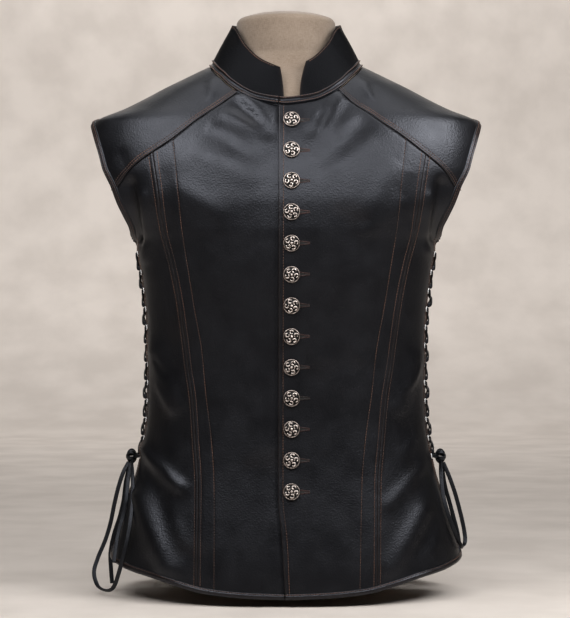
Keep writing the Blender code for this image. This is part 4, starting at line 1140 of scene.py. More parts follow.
@dataclass
class Panel:
    """A leather panel: its grid of places, the lines that shape it, and its stitched rows."""

    name: str
    side: int
    grids: list
    places: Array
    features: list
    tucked: Array | None = None
    sunk: bool = False
    rows: list = field(default_factory=list)
    wall: float = WALL
    edge_round: float = 0.0009
    tuck: float = 0.0019
    tuck_width: float = 0.0022

    def lift(self, turn: Array, height: Array) -> Array:
        """Returns how far the leather stands over the plain surface, in the +X frame."""
        plain = ring_point(turn, height)
        lift = fold_lift(plain * (self.side, 1, 1))
        for feature in self.features:
            lift += feature.rise(plain)
        if self.tucked is not None:
            away, _ = nearest(plain, ring_point(self.tucked[:, 0], self.tucked[:, 1]))
            lift -= self.tuck * (1 - eased(away / self.tuck_width))
        if self.sunk:
            lift -= sink_at(plain[:, 0] * self.side)
        return lift

    def surface(self, line: Array, out: float = 0.0) -> tuple[Array, Array]:
        """Returns points and normals of the leather over a line of turns and heights."""
        turn, height = line[:, 0], line[:, 1]
        normal = ring_normal(turn, height)
        points = ring_point(turn, height) + normal * (self.lift(turn, height) + out)[:, None]
        return points * (self.side, 1, 1), normal * (self.side, 1, 1)

    def build(self, material: Material) -> Object:
        """Makes the panel as a closed thin shell with rounded edges."""
        turn, height = self.places[:, 0], self.places[:, 1]
        normal = ring_normal(turn, height)
        plain = ring_point(turn, height)
        quads = np.vstack([quads_of(index) for index in self.grids])
        lift = self.lift(turn, height)
        return thin_shell(
            self.name, plain, normal, lift, quads, self.wall, self.edge_round, self.side, material
        )


def thin_shell(
    name: str,
    plain: Array,
    normal: Array,
    lift: Array,
    quads: Array,
    wall: float,
    edge_round: float,
    side: int,
    material: Material,
) -> Object:
    """Makes a sheet of leather with a wall and rounded edges.

    Args:
        name: the piece's name.
        plain: points of the plain surface.
        normal: its normals.
        lift: how far the outer face stands over it.
        quads: the faces between the points.
        wall: the leather's thickness.
        edge_round: radius of the edges.
        side: +1, or -1 for a sheet mirrored to -X.
        material: its finish.

    Returns:
        The object, with a wear attribute that is 1 at its edges.
    """
    border = border_of(quads)
    rim = plain[border]
    centre, reach = rim.mean(axis=1), float(np.linalg.norm(rim[:, 0] - rim[:, 1], axis=1).max())
    away = np.full(len(plain), 1.0)
    for first in range(0, len(plain), CHUNK):
        block = plain[first : first + CHUNK]
        gap = np.linalg.norm(block[:, None] - centre[None], axis=2).min(axis=1)
        close = gap < reach + RIM_REACH
        if close.any():
            start, run = rim[:, 0], rim[:, 1] - rim[:, 0]
            offset = block[close][:, None] - start[None]
            share = np.clip((offset * run).sum(axis=2) / (run**2).sum(axis=1), 0, 1)
            found = np.linalg.norm(offset - share[..., None] * run, axis=2).min(axis=1)
            away[np.arange(first, first + len(block))[close]] = found
    inward = 1 - np.clip(away / edge_round, 0, 1)
    curl = CURL * wall * (1 - np.sqrt(1 - inward**2))
    outer = plain + normal * (lift - curl)[:, None]
    inner = plain + normal * (lift - wall + curl)[:, None]
    count = len(plain)
    first, second = border.T
    rim_quads = np.stack([second, first, first + count, second + count], axis=1)
    faces = np.vstack([quads, quads[:, ::-1] + count, rim_quads])
    points = np.vstack([outer, inner]) * (side, 1, 1)
    if side < 0:
        faces = faces[:, ::-1]
    obj = new_piece(name, points, faces, [material])
    set_wear(obj, np.tile(np.exp(-away / WEAR_REACH), 2))
    return obj


@dataclass
class Cutter:
    """Cuts the vest's panels on the rings: their grids, shaped lines and stitched rows."""

    lower_rows: int = 150
    front_upper_rows: int = 30
    back_upper_rows: int = 34
    front_columns: int = 30
    strip_columns: int = 3
    side_columns: int = 12
    armpit_columns: int = 4
    back_columns: int = 34
    yoke_columns: int = 30
    yoke_rows: int = 74
    tucks: tuple = (0.0015, 0.0045)

    def rows(self, low: float, high: float, upper: int) -> Array:
        """Returns the heights of a panel's rows from its hem to its top."""
        below = np.linspace(low, SPLIT, self.lower_rows + 1)
        marks = np.array(TOP_MARKS[::-1])
        above = np.linspace(SPLIT, high - marks[0], upper + 1)
        return np.concatenate([below[:-1], above, high - marks[1:]])

    def tucked_under(self, grid: Array) -> Array:
        """Returns a grid with rows added past its top, where the next piece covers it."""
        added = [shifted(grid[-1], distance) for distance in self.tucks]
        return np.concatenate([grid, np.array(added)])

    def front(self, side: int) -> Panel:
        """Cuts a front, from its centre edge to the shaped seam."""
        lapping = side > 0
        seam, row = line_to_yoke(SHAPED_SEAM, side), line_to_yoke(INNER_ROW, side)
        yoke, neck_end = yoke_front_line(side), YOKE_NECK_TURN[side]
        upper = self.front_upper_rows
        low, high = float(hem_height(0.0)), float(neck_height(0.0))
        heights = self.rows(low, high, upper)
        edge = smooth(heights, LAP_EDGE) if lapping else np.full(len(heights), -UNDERLAP_EDGE_X)
        centre = at_x(edge, heights)
        row_top, seam_top = row[-1], seam[-1]
        places = []
        for line in (row, seam):
            at = self.rows(line[0, 1], line[-1, 1], upper)
            places.append(at_heights(line, at))
        near = LAP_MARKS if lapping else PLAIN_MARKS
        neck = neck_line(float(centre[-1, 0]), neck_end)
        over = yoke[(yoke[:, 0] > neck_end) & (yoke[:, 0] < row_top[0])]
        top = stations(np.vstack([neck, over, row_top]), near, ROW_MARKS, self.front_columns)
        hem = hem_line(float(centre[0, 0]), float(places[0][0, 0]))
        bottom = stations(hem, near, ROW_MARKS, self.front_columns)
        inner = coons(centre, places[0], bottom, top)
        over = yoke[(yoke[:, 0] > row_top[0]) & (yoke[:, 0] < seam_top[0])]
        top = np.vstack([row_top, over, seam_top])
        top = stations(top, ROW_MARKS, SEAM_MARKS, self.strip_columns)
        hem = hem_line(float(places[0][0, 0]), float(places[1][0, 0]))
        bottom = stations(hem, ROW_MARKS, SEAM_MARKS, self.strip_columns)
        outer = coons(places[0], places[1], bottom, top)
        grid = np.concatenate([inner, outer[:, 1:]], axis=1)
        tucked = grid[-1].copy()
        grid = self.tucked_under(grid)
        features = [Feature(row, ROW_RIDGES), Feature(seam, SEAM_RIDGES)]
        features.append(Feature(beside(seam, +1), ROW_DENT))
        rows = [row, beside(seam, +1)]
        lap = at_x((1 if lapping else -1) * smooth(heights, LAP_EDGE), heights)
        if lapping:
            features.append(Feature(lap, LAP_RIDGES))
            rows.append(shifted(lap, -LAP_ROW))
        else:
            features.append(Feature(lap, LAP_SHADE, pucker=0.0))
        name, grids = "front_left" if lapping else "front_right", [numbered(*grid.shape[:2])]
        return Panel(name, side, grids, grid.reshape(-1, 2), features, tucked, not lapping, rows)

    def side_piece(self, side: int) -> Panel:
        """Cuts a side piece, from the shaped seam to the laced edge and the armhole."""
        seam, yoke = line_to_yoke(SHAPED_SEAM, side), yoke_front_line(side)
        laced, armhole, seam_top = laced_edge(+1), armhole_line(+1), seam[-1]
        at = self.rows(seam[0, 1], seam_top[1], self.front_upper_rows)
        left = at_heights(seam, at)
        low = self.lower_rows
        at = np.linspace(laced[0, 1], laced[-1, 1], low + 1)
        right = at_heights(laced, at)
        armpit = between(armhole, armhole[0, 1], SPLIT)[::-1]
        armpit = stations(armpit, (0,), LACED_MARKS, self.armpit_columns)
        split = np.linspace(left[low], armpit[0], LINE_POINTS)
        across = stations(split, SEAM_MARKS, (0, 0.0030), self.side_columns)
        hem = hem_line(float(left[0, 0]), float(right[0, 0]))
        middle = len(across) + len(armpit) - 1 - len(SEAM_MARKS) - len(LACED_MARKS)
        bottom = stations(hem, SEAM_MARKS, LACED_MARKS, middle)
        lower = coons(left[: low + 1], right, bottom, np.vstack([across[:-1], armpit]))
        rise = between(armhole, SPLIT, YOKE_FRONT_END)
        at = self.rows(0.0, YOKE_FRONT_END, self.front_upper_rows)[low:]
        rise = at_heights(rise, at)
        over = yoke[yoke[:, 0] > seam_top[0]]
        top = stations(np.vstack([seam_top, over]), SEAM_MARKS, (0, 0.0030), self.side_columns)
        upper = coons(left[low:], rise, across, top)
        tucked = upper[-1].copy()
        upper = self.tucked_under(upper)
        grids, places = self.stacked(lower, upper, 0)
        features = [Feature(seam, SEAM_RIDGES), Feature(laced, LACED_RIDGES)]
        features.append(Feature(beside(seam, -1), ROW_DENT))
        rows = [beside(seam, -1), *(shifted(laced, at) for at in LACED_ROWS)]
        name = "side_left" if side > 0 else "side_right"
        return Panel(name, side, grids, places, features, tucked, False, rows)

    def stacked(self, lower: Array, upper: Array, start: int) -> tuple[list, Array]:
        """Joins two grids where the upper one stands on a stretch of the lower one's last row."""
        index = numbered(*lower.shape[:2])
        shared = index[-1, start : start + upper.shape[1]]
        above = np.vstack([shared, index.size + numbered(len(upper) - 1, upper.shape[1])])
        return [index, above], np.vstack([lower.reshape(-1, 2), upper[1:].reshape(-1, 2)])

    def yoke(self, side: int) -> Panel:
        """Cuts a shoulder yoke, from the neck to the armhole and over to the back."""
        front, back = yoke_front_line(side), yoke_back_line()
        neck = neck_line(YOKE_NECK_TURN[side], YOKE_BACK_NECK_TURN)
        armhole = np.vstack(
            [
                between(armhole_line(+1), YOKE_FRONT_END, ARMHOLE_FRONT[-1][1]),
                between(armhole_line(-1), YOKE_BACK_END, ARMHOLE_BACK[-1][1])[-2::-1],
            ]
        )
        left = stations(neck, YOKE_MARKS, YOKE_MARKS, self.yoke_rows)
        right = stations(armhole, YOKE_MARKS, YOKE_MARKS, self.yoke_rows)
        bottom = stations(front, TOP_MARKS, PLAIN_MARKS, self.yoke_columns)
        top = stations(back, TOP_MARKS, PLAIN_MARKS, self.yoke_columns)
        grid = coons(left, right, bottom, top)
        features = [Feature(front, YOKE_RIDGES), Feature(back, YOKE_RIDGES)]
        rows = [shifted(front, at) for at in YOKE_ROWS] + [shifted(back, -at) for at in YOKE_ROWS]
        name, grids = "yoke_left" if side > 0 else "yoke_right", [numbered(*grid.shape[:2])]
        return Panel(name, side, grids, grid.reshape(-1, 2), features, neck, False, rows)

    def back(self) -> Panel:
        """Cuts the back in one piece, between the laced edges, armholes, yokes and neck."""
        yoke, laced, armhole = yoke_back_line(), laced_edge(-1), armhole_line(-1)
        neck = neck_line(YOKE_BACK_NECK_TURN, 180.0)
        low = self.lower_rows
        top = stations(np.vstack([yoke[::-1], neck[1:]]), (0, 0.003), (0,), self.back_columns)
        armpit = between(armhole, armhole[0, 1], SPLIT)
        armpit = stations(armpit, LACED_MARKS, (0,), self.armpit_columns)
        at = np.linspace(laced[0, 1], laced[-1, 1], low + 1)
        left = at_heights(laced, at)
        at = self.rows(float(hem_height(180.0)), float(top[-1, 1]), self.back_upper_rows)
        middle = np.stack([np.full(len(at), 180.0), at], axis=1)
        split = np.linspace(armpit[-1], middle[low], LINE_POINTS)
        across = stations(split, (0, 0.003), (0,), self.back_columns)
        hem = hem_line(float(left[0, 0]), 180.0)
        columns = len(across) + len(armpit) - 2 - len(LACED_MARKS)
        bottom = stations(hem, LACED_MARKS, (0,), columns)
        lower = coons(left, middle[: low + 1], bottom, np.vstack([armpit[:-1], across]))
        at = self.rows(0.0, YOKE_BACK_END, self.back_upper_rows)[low:]
        rise = at_heights(armhole, at)
        upper = coons(rise, middle[low:], across, top)
        tucked = upper[-1].copy()
        upper = self.tucked_under(upper)
        lower, upper = self.mirrored(lower), self.mirrored(upper)
        grids, places = self.stacked(lower, upper, len(armpit) - 1)
        both = [laced, (360.0, 0.0) + laced * (-1, 1)]
        features = [Feature(line, LACED_RIDGES) for line in both]
        rows = [shifted(line, way * at) for line, way in zip(both, (-1, 1)) for at in LACED_ROWS]
        tucked = np.vstack([tucked, ((360.0, 0.0) + tucked * (-1, 1))[-2::-1]])
        return Panel("back", 1, grids, places, features, tucked, False, rows)

    def mirrored(self, grid: Array) -> Array:
        """Completes a grid that ends on the back's middle line with its mirror image."""
        return np.concatenate([grid, (360.0, 0.0) + grid[:, -2::-1] * (-1, 1)], axis=1)


def swept_loop(name: str, rings: Array, material: Material, flip: bool, section: tuple) -> Object:
    """Makes a closed tube of a section's swept points.

    Args:
        name: the piece's name.
        rings: for each point of the section, its places along the sweep.
        material: the finish.
        flip: whether the faces are turned round, on a mirrored side.
        section: the section's own points, whose second column says what is worn.

    Returns:
        The object.
    """
    around, along = rings.shape[:2]
    index = numbered(around, along)
    quads = quads_of(np.vstack([index, index[:1]]))
    faces = [*quads.tolist(), index[:, 0].tolist(), index[::-1, -1].tolist()]
    if flip:
        faces = [face[::-1] for face in faces]
    obj = new_piece(name, rings.reshape(-1, 3), faces, [material])
    outs = np.array([row[1] for row in section])
    worn = np.clip((outs - outs.max()) / CROWN_DEPTH + 1, 0, 1) * CROWN_WEAR
    set_wear(obj, np.repeat(worn, along))
    return obj


COLLAR_HALF_WIDTH = 0.070
COLLAR_FRONT = 0.085
COLLAR_BACK = 0.062
# Plan angles of the collar's two front ends at its foot and at its top.
COLLAR_END_RIGHT = (-1.5, -6.0)
COLLAR_END_LEFT = (10.3, 21.0)
COLLAR_END_EASE = 12.0
NECK_BAND_END = -5.3


def collar_plain(turn: Array, rise: Array, lead: Array | float = 0.0) -> Array:
    """Finds places on the collar.

    Args:
        turn: turns of the collar's foot.
        rise: shares of the way up.
        lead: degrees by which the top runs ahead of the foot.

    Returns:
        The points in metres.
    """
    foot = ring_point(turn, neck_height(turn))
    plan = np.arctan2(foot[..., 0], -foot[..., 1]) + np.radians(lead)
    depth = np.where(np.cos(plan) >= 0, COLLAR_FRONT, COLLAR_BACK)
    level = smooth(np.abs(wrapped(np.degrees(plan))), COLLAR_TOP)
    top = [COLLAR_HALF_WIDTH * np.sin(plan), -depth * np.cos(plan), level + DATUM]
    return foot + (np.stack(top, axis=-1) - foot) * np.asarray(rise)[..., None]


def collar_normal(turn: Array, rise: Array) -> Array:
    """Returns the collar's outward normals."""
    along = collar_plain(turn + TURN_STEP, rise) - collar_plain(turn - TURN_STEP, rise)
    up = collar_plain(turn, rise + RISE_STEP) - collar_plain(turn, rise - RISE_STEP)
    return unit(np.cross(along, up))


def collar_share(turn: Array, height: float) -> Array:
    """Returns the share of the collar's rise at a distance up its slope."""
    slope = collar_plain(turn, np.ones(len(turn))) - collar_plain(turn, np.zeros(len(turn)))
    return height / np.linalg.norm(slope, axis=-1)


def neck_turn_at(angle: float) -> float:
    """Returns the turn at which the neck seam has a plan angle."""
    turns = np.linspace(-90, 90, 721)
    foot = ring_point(turns, neck_height(turns))
    return float(np.interp(angle, np.degrees(np.arctan2(foot[:, 0], -foot[:, 1])), turns))


@dataclass
class Collar:
    """The stand collar, open at the front, and the band round its foot."""

    wall: float = 0.0022
    tucked: float = 0.0045
    columns: int = 190
    rows: int = 22
    band_section: tuple = (
        *((0.0000, 0.0003), (0.0003, 0.0013), (0.0011, 0.0019), (0.0019, 0.0015)),
        *((0.0026, 0.0006), (0.0038, -0.0003), (0.0060, -0.0003), (0.0069, 0.0006)),
        (0.0076, 0.0014),
        *((0.0084, 0.0018), (0.0092, 0.0012), (0.0095, 0.0002)),
        *((0.0092, -0.0034), (0.0002, -0.0034)),
    )
    band_rows: tuple = ((0.0015, 0.0018), (0.0080, 0.0017))
    band_sweep: float = 359.8
    band_columns: int = 260
    end_spread: float = 2.4
    end_skip: int = 6
    waves: tuple[float, float] = (0.0011, 0.0006)
    top_row: float = 0.0026
    top_ridges: tuple = (
        (0.0012, 0.0004, 0.0016),
        (0.0026, -0.0002, 0.0006),
        (0.0044, 0.0003, 0.0014),
    )
    top_marks: tuple = (0.0046, 0.0038, 0.0033, 0.0028, 0.0022, 0.0014, 0.0008, 0.0004, 0.00015, 0)
    top_strip: float = 0.006
    edge_round: float = 0.0011

    def lead(self, turns: Array) -> Array:
        """Returns how far the top of the collar runs ahead of its foot at its slanted ends."""
        (foot_left, top_left), (foot_right, top_right) = COLLAR_END_LEFT, COLLAR_END_RIGHT
        start, end = neck_turn_at(foot_left), 360 + neck_turn_at(foot_right)
        left = (top_left - foot_left) * np.exp(-(turns - start) / COLLAR_END_EASE)
        return left + (top_right - foot_right) * np.exp((turns - end) / COLLAR_END_EASE)

    def turns(self) -> Array:
        """Returns the collar's stations, close together near its two ends."""
        start, end = neck_turn_at(COLLAR_END_LEFT[0]), 360 + neck_turn_at(COLLAR_END_RIGHT[0])
        near = np.array(SEAM_MARKS) / DEGREE_LENGTH * self.end_spread
        inner = np.linspace(start + near[-1], end - near[-1], self.columns)[1:-1]
        return np.concatenate([start + near, inner, (end - near)[::-1]])

    def surface(self, turns: Array, rises: Array) -> tuple[Array, Array, Array]:
        """Returns the collar's plain points, its normals, and how far its leather is lifted."""
        lead = self.lead(turns) * rises
        plain, normal = collar_plain(turns, rises, lead), collar_normal(turns, rises)
        slope = np.linalg.norm(collar_plain(turns, np.ones(len(turns))) - plain, axis=1)
        slope = np.where(rises >= 1, 0.0, slope)
        broad, fine = self.waves
        lift = broad * np.sin(np.radians(turns) * 5 + 1) * np.sin(rises * 2.6)
        lift += fine * np.sin(np.radians(turns) * 11 + rises * 2) * rises
        for distance, rise, width in self.top_ridges:
            lift += rise * swell(slope - distance, width)
        return plain, normal, lift

    def build_collar(self, material: Material) -> Object:
        """Makes the collar."""
        turns = self.turns()
        foot, metre = collar_share(turns, self.tucked), collar_share(turns, 1.0)
        span = 1 - metre * self.top_strip - foot
        rows = [foot + span * share for share in np.linspace(0, 1, self.rows)]
        rows += [1 - metre * mark for mark in self.top_marks]
        shape = self.surface(np.tile(turns, len(rows)), np.concatenate(rows))
        quads = quads_of(numbered(len(rows), len(turns)))
        walls = (self.wall, self.edge_round)
        return thin_shell("collar_leather", *shape, quads, *walls, 1, material)

    def collar_lines(self) -> list:
        """Returns the collar's stitched row, just under its upper edge."""
        turns = self.turns()[self.end_skip : -self.end_skip]
        plain, normal, lift = self.surface(turns, 1 - collar_share(turns, self.top_row))
        return [(plain + normal * lift[:, None], normal)]

    def band_turns(self) -> Array:
        """Returns the band's stations, once round from the lap's edge to itself."""
        start = neck_turn_at(NECK_BAND_END)
        return np.linspace(start, start + self.band_sweep, self.band_columns)

    def build_band(self, material: Material) -> Object:
        """Makes the neck band with its two ridges."""
        turns, rings = self.band_turns(), []
        for up, out in self.band_section:
            share = collar_share(turns, up)
            rings.append(collar_plain(turns, share) + collar_normal(turns, share) * out)
        return swept_loop("neck_band_leather", np.array(rings), material, False, self.band_section)

    def band_lines(self) -> list:
        """Returns the band's two stitched rows."""
        turns, lines = self.band_turns(), []
        for up, out in self.band_rows:
            share = collar_share(turns, up)
            normal = collar_normal(turns, share)
            lines.append((collar_plain(turns, share) + normal * (out - 0.0001), normal))
        return lines


@dataclass
class Binding:
    """A band of leather that wraps an edge of the panels, with its stitched rows."""

    name: str
    side: int
    width: float
    crowns: tuple
    rows: tuple
    inner: float = -0.0029
    sunk: bool = False

    def surface(self, line: Array, across: float, out: float) -> tuple[Array, Array]:
        """Returns points and normals at a distance across the band and out from the panels."""
        moved = shifted(line, across)
        points, normals = ring_point(*moved.T), ring_normal(*moved.T)
        mirror = np.array((self.side, 1, 1))
        lift = fold_lift(points * mirror) + out
        if self.sunk:
            lift -= sink_at(points[:, 0] * self.side)
        return (points + normals * lift[:, None]) * mirror, normals * mirror

    def build(self, line: Array, material: Material) -> Object:
        """Sweeps the band's closed section along the edge."""
        section = self.section()
        rings = np.array([self.surface(line, across, out)[0] for across, out in section])
        return swept_loop(self.name, rings, material, self.side < 0, section)

    def section(self) -> tuple:
        """Returns the section's points, across and out, once round."""
        outer = [(share * self.width, rise) for share, rise in self.crowns]
        wrap = [(-0.0003, self.inner + 0.0007), (-0.0006, -0.0012), (-0.0005, 0.0)]
        return (*outer, (self.width * 0.95, self.inner), (0.0004, self.inner), *wrap)

    def lines(self, line: Array) -> list:
        """Returns the band's stitched rows."""
        return [self.surface(line, across, out) for across, out in self.rows]


# The bands' widths, what their cut adds to twice the width, their rows of stitches (distance
# across, rise) and their crowns (share of the width, rise).
ARMHOLE_WIDTH, HEM_WIDTH = 0.009, 0.007
BAND_TURN_IN = 0.010
ARMHOLE_ROWS = ((0.0029, 0.0009), (0.0068, 0.0011))
HEM_ROWS = ((0.0056, 0.0012),)
ARMHOLE_CROWNS = (
    *((0.02, 0.0010), (0.08, 0.0019), (0.16, 0.0022), (0.24, 0.0018), (0.33, 0.0010)),
    *((0.42, 0.0013), (0.50, 0.0021), (0.58, 0.0023), (0.67, 0.0019), (0.78, 0.0011)),
    *((0.90, 0.0008), (1.0, 0.0001)),
)
HEM_CROWNS = (
    *((0.02, 0.0010), (0.12, 0.0017), (0.30, 0.0021), (0.48, 0.0021), (0.64, 0.0017)),
    *((0.76, 0.0012), (0.86, 0.0013), (0.95, 0.0008), (1.0, 0.0001)),
)


@dataclass
class Trims:
    """The bound edges: two armholes, and the hem in three lengths."""

    def armhole_route(self) -> Array:
        """Returns the armhole's edge as even stations."""
        line = np.vstack([armhole_line(+1), armhole_line(-1)[-2::-1]])
        return stations(line, (0,), (0,), 230)

    def hem_routes(self) -> dict[str, Array]:
        """Returns the hem's stations in three lengths, on the +X side."""
        front, back = laced_edge(+1)[0, 0], laced_edge(-1)[0, 0]
        lap = float(turn_at_x(smooth(0.0, LAP_EDGE), HEM[0][1]))
        under = float(turn_at_x(-smooth(0.0, LAP_EDGE) + 0.0008, HEM[0][1]))
        spans = {"left": (lap, front), "right": (under, front), "back": (back, 360 - back)}
        counts = {"left": 180, "right": 180, "back": 320}
        return {
            name: stations(hem_line(*span), (0,), (0,), counts[name])
            for name, span in spans.items()
        }

    def build(self, wardrobe: Wardrobe) -> None:
        """Makes the bands and their stitches."""
        route = self.armhole_route()
        for label, side in SIDES.items():
            node = f"armhole_band_{label}"
            shape = (ARMHOLE_WIDTH, ARMHOLE_CROWNS, ARMHOLE_ROWS)
            self.finish(Binding(f"{node}_leather", side, *shape), route, node, wardrobe)
        for label, line in self.hem_routes().items():
            side, node = SIDES.get(label, 1), f"hem_binding_{label}"
            shape = (HEM_WIDTH, HEM_CROWNS, HEM_ROWS)
            band = Binding(f"{node}_leather", side, *shape, sunk=side < 0)
            self.finish(band, line, node, wardrobe)

    def finish(self, band: Binding, line: Array, node: str, wardrobe: Wardrobe) -> None:
        cut = (float(lengths(ring_point(*line.T))[-1]), 2 * band.width + BAND_TURN_IN)
        slots, obj = (Slot.TRIM, Slot.TRIM), band.build(line, wardrobe.trim)
        sew(obj, node, slots, band.lines(line), wardrobe.thread)


@dataclass
class Button:
    """An openwork shank button: a rim, curled leaves between it and a boss, on a dark plate."""

    radius: float = 0.0104
    rim: float = 0.00062
    leaves: int = 5
    leaf_ring: float = 0.0058
    leaf_radius: float = 0.0022
    leaf_thick: float = 0.00095
    boss: float = 0.0018
    rise: float = 0.0040
    dome: float = 0.0016
    curl_start: float = math.radians(215)
    curl_sweep: float = math.radians(290)
    first_leaf: float = 0.3
    sink: float = 0.0004
    domed: float = 0.0025
    # The plate and the shank: sides, radius, depth, height of the middle.
    plate: tuple = (32, 0.0095, 0.0012, 0.0026)
    shank: tuple = (16, 0.0026, 0.0022, 0.0013)

    def curl(self, angle: float) -> None:
        """Adds a C-shaped curl, open towards the boss, at an angle round the button."""
        x, y = self.leaf_ring * math.cos(angle), self.leaf_ring * math.sin(angle)
        start = angle + self.curl_start
        tip = (x + self.leaf_radius * math.cos(start), y + self.leaf_radius * math.sin(start))
        bpy.ops.mesh.select_all(action="DESELECT")
        bpy.ops.mesh.primitive_circle_add(
            vertices=7,
            radius=self.leaf_thick,
            fill_type="NGON",
            location=(*tip, self.rise),
            rotation=(math.pi / 2, 0, start),
        )
        centre = (x, y, self.rise)
        bpy.ops.mesh.spin(steps=12, angle=self.curl_sweep, center=centre, axis=(0, 0, 1))

    def disc(self, sides: int, radius: float, depth: float, level: float) -> None:
        """Adds an upright cylinder in the finish that is active."""
        bpy.ops.mesh.primitive_cylinder_add(
            vertices=sides, radius=radius, depth=depth, location=(0, 0, level)
        )
        bpy.ops.object.material_slot_assign()

    def build(self, wardrobe: Wardrobe) -> Object:
        """Makes the button standing on the origin along +Z."""
        obj = edit_new("button_pattern", [wardrobe.pewter, wardrobe.oxide_and_shade, wardrobe.polished])
        for leaf in range(self.leaves):
            self.curl(2 * math.pi * leaf / self.leaves + self.first_leaf)
        bpy.ops.mesh.primitive_uv_sphere_add(
            segments=10,
            ring_count=6,
            radius=self.boss,
            location=(0, 0, self.rise),
            scale=(1, 1, 0.75),
        )
        bpy.ops.mesh.select_all(action="SELECT")
        obj.active_material_index = 2
        bpy.ops.object.material_slot_assign()
        bpy.ops.mesh.select_all(action="DESELECT")
        torus(self.radius - self.rim, self.rim, 40, self.rise - self.sink)
        obj.active_material_index = 0
        bpy.ops.object.material_slot_assign()
        bpy.ops.mesh.select_all(action="SELECT")
        bpy.ops.mesh.normals_make_consistent(inside=False)
        bpy.ops.mesh.select_all(action="DESELECT")
        obj.active_material_index = 1
        self.disc(*self.plate)
        self.disc(*self.shank)
        bpy.ops.object.mode_set(mode="OBJECT")
        for vertex in obj.data.vertices:
            away = vertex.co.xy.length / self.radius
            if vertex.co.z > self.rise - self.domed:
                vertex.co.z += self.dome * (1 - away**2) - self.sink
        obj.data.shade_smooth()
        return obj


def torus(radius: float, thick: float, segments: int, level: float) -> None:
    """Adds a round wire ring to the mesh that is being edited."""
    bpy.ops.mesh.primitive_torus_add(
        major_radius=radius,
        minor_radius=thick,
        major_segments=segments,
        minor_segments=8,
        location=(0, 0, level),
    )


def edit_new(name: str, materials: list) -> Object:
    """Makes an empty object, and opens it as the one that is being edited."""
    obj = new_piece(name, np.zeros((0, 3)), [], materials)
    bpy.ops.object.select_all(action="DESELECT")
    bpy.context.view_layer.objects.active = obj
    obj.select_set(True)
    bpy.ops.object.mode_set(mode="EDIT")
    return obj


def copies(name: str, pattern: Object, places: list[Matrix]) -> Object:
    """Makes one object of a pattern's copies, each at its own place.

    Args:
        name: the piece's name.
        pattern: the object that is copied.
        places: a matrix for each copy.

    Returns:
        The object, which stands at the origin.
    """
    mesh = pattern.data
    count = len(mesh.vertices)
    base = np.empty(count * 3)
    mesh.vertices.foreach_get("co", base)
    base = np.hstack([base.reshape(-1, 3), np.ones((count, 1))])
    faces = [list(polygon.vertices) for polygon in mesh.polygons]
    kinds = [polygon.material_index for polygon in mesh.polygons]
    points = np.vstack([(base @ np.array(place).T)[:, :3] for place in places])
    every = [[v + count * k for v in face] for k in range(len(places)) for face in faces]
    obj = new_piece(name, points, every, list(mesh.materials))
    obj.data.polygons.foreach_set("material_index", kinds * len(places))
    return obj


def standing(point: Array, normal: Array, turn: float = 0.0) -> Matrix:
    """Returns the matrix that stands a pattern on a point along a normal, turned about it."""
    turned = Vector(normal.tolist()).to_track_quat("Z", "Y").to_matrix().to_4x4()
    return Matrix.Translation(Vector(point.tolist())) @ turned @ Matrix.Rotation(turn, 4, "Z")


@dataclass
class Closure:
    """The buttons down the centre front and the worked holes beside them."""

    count: int = 13
    x: float = 0.0068
    top: float = 0.5955
    step: float = 0.0385
    slit: tuple[float, float] = (0.0165, 0.0300)
    slit_lift: float = 0.00008
    slit_gap: tuple[float, float] = (0.0002, 0.0017)
    purl_pitch: float = 0.00075
    purl_length: float = 0.0013
    purl_stitch: float = 0.0016
    purl_radius: float = 0.00030
    turn: float = 0.9

    def build(self, front: Panel, wardrobe: Wardrobe) -> None:
        """Makes thirteen buttons and their holes on the lapping front."""
        pattern = Button().build(wardrobe)
        for index in range(self.count):
            height = self.top - self.step * index
            point, normal = front.surface(np.array([[float(turn_at_x(self.x, height)), height]]))
            place = standing(point[0], normal[0], self.turn * index)
            obj = copies(f"button_{index + 1:02d}_cast", pattern, [place])
            report(obj, Slot.PEWTER, f"button_{index + 1:02d}")
        bpy.data.objects.remove(pattern)
        self.holes(front, wardrobe)

    def gap(self, x: Array) -> Array:
        """Returns a hole's half height at x: the button's shank spreads its inner end."""
        start, end = self.slit
        least, more = self.slit_gap
        return least + more * ((end - x) / (end - start)) ** 1.3

    def holes(self, front: Panel, wardrobe: Wardrobe) -> None:
        """Works the holes: two rows of short stitches, with a near-black wedge between them as the
        slit's painted shade.
        """
        places, slits, (start, end) = [], [], self.slit
        for index in range(self.count):
            height = self.top - self.step * index
            for x in np.arange(start, end, self.purl_pitch):
                near = float(self.gap(x))
                for sign in (1, -1):
                    for away in (near, near + self.purl_length):
                        places.append((x, height + sign * away))
            slits.append(self.slot(front, height))
        x, level = np.array(places).T
        points, normals = front.surface(at_x(x, level))
        lines = list(zip(points.reshape(-1, 2, 3), normals.reshape(-1, 2, 3)))
        purl = Stitching(
            pitch=self.purl_length, stitch=self.purl_stitch, radius=self.purl_radius
        )
        report(purl.piece("buttonhole_stitches", lines, wardrobe.buttonhole), Slot.TRIM)
        # The slits are not cut through: a near-black wedge lying on the leather is painted shade in
        # each hole.
        points = np.vstack(slits)
        index = np.arange(len(points)).reshape(self.count, 2, -1)
        quads = np.vstack([quads_of(rows) for rows in index])
        report(new_piece("buttonhole_slit_shade", points, quads, [wardrobe.oxide_and_shade]), Slot.TRIM)

    def slot(self, front: Panel, height: float) -> Array:
        """Returns the points of the near-black wedge painted as a slit's shade, its lower row
        first.
        """
        x = np.linspace(*self.slit, 12)
        half = self.gap(x)
        rows = []
        for sign in (-1, 1):
            rows.append(front.surface(at_x(x, height + sign * half), self.slit_lift)[0])
        return np.vstack(rows)


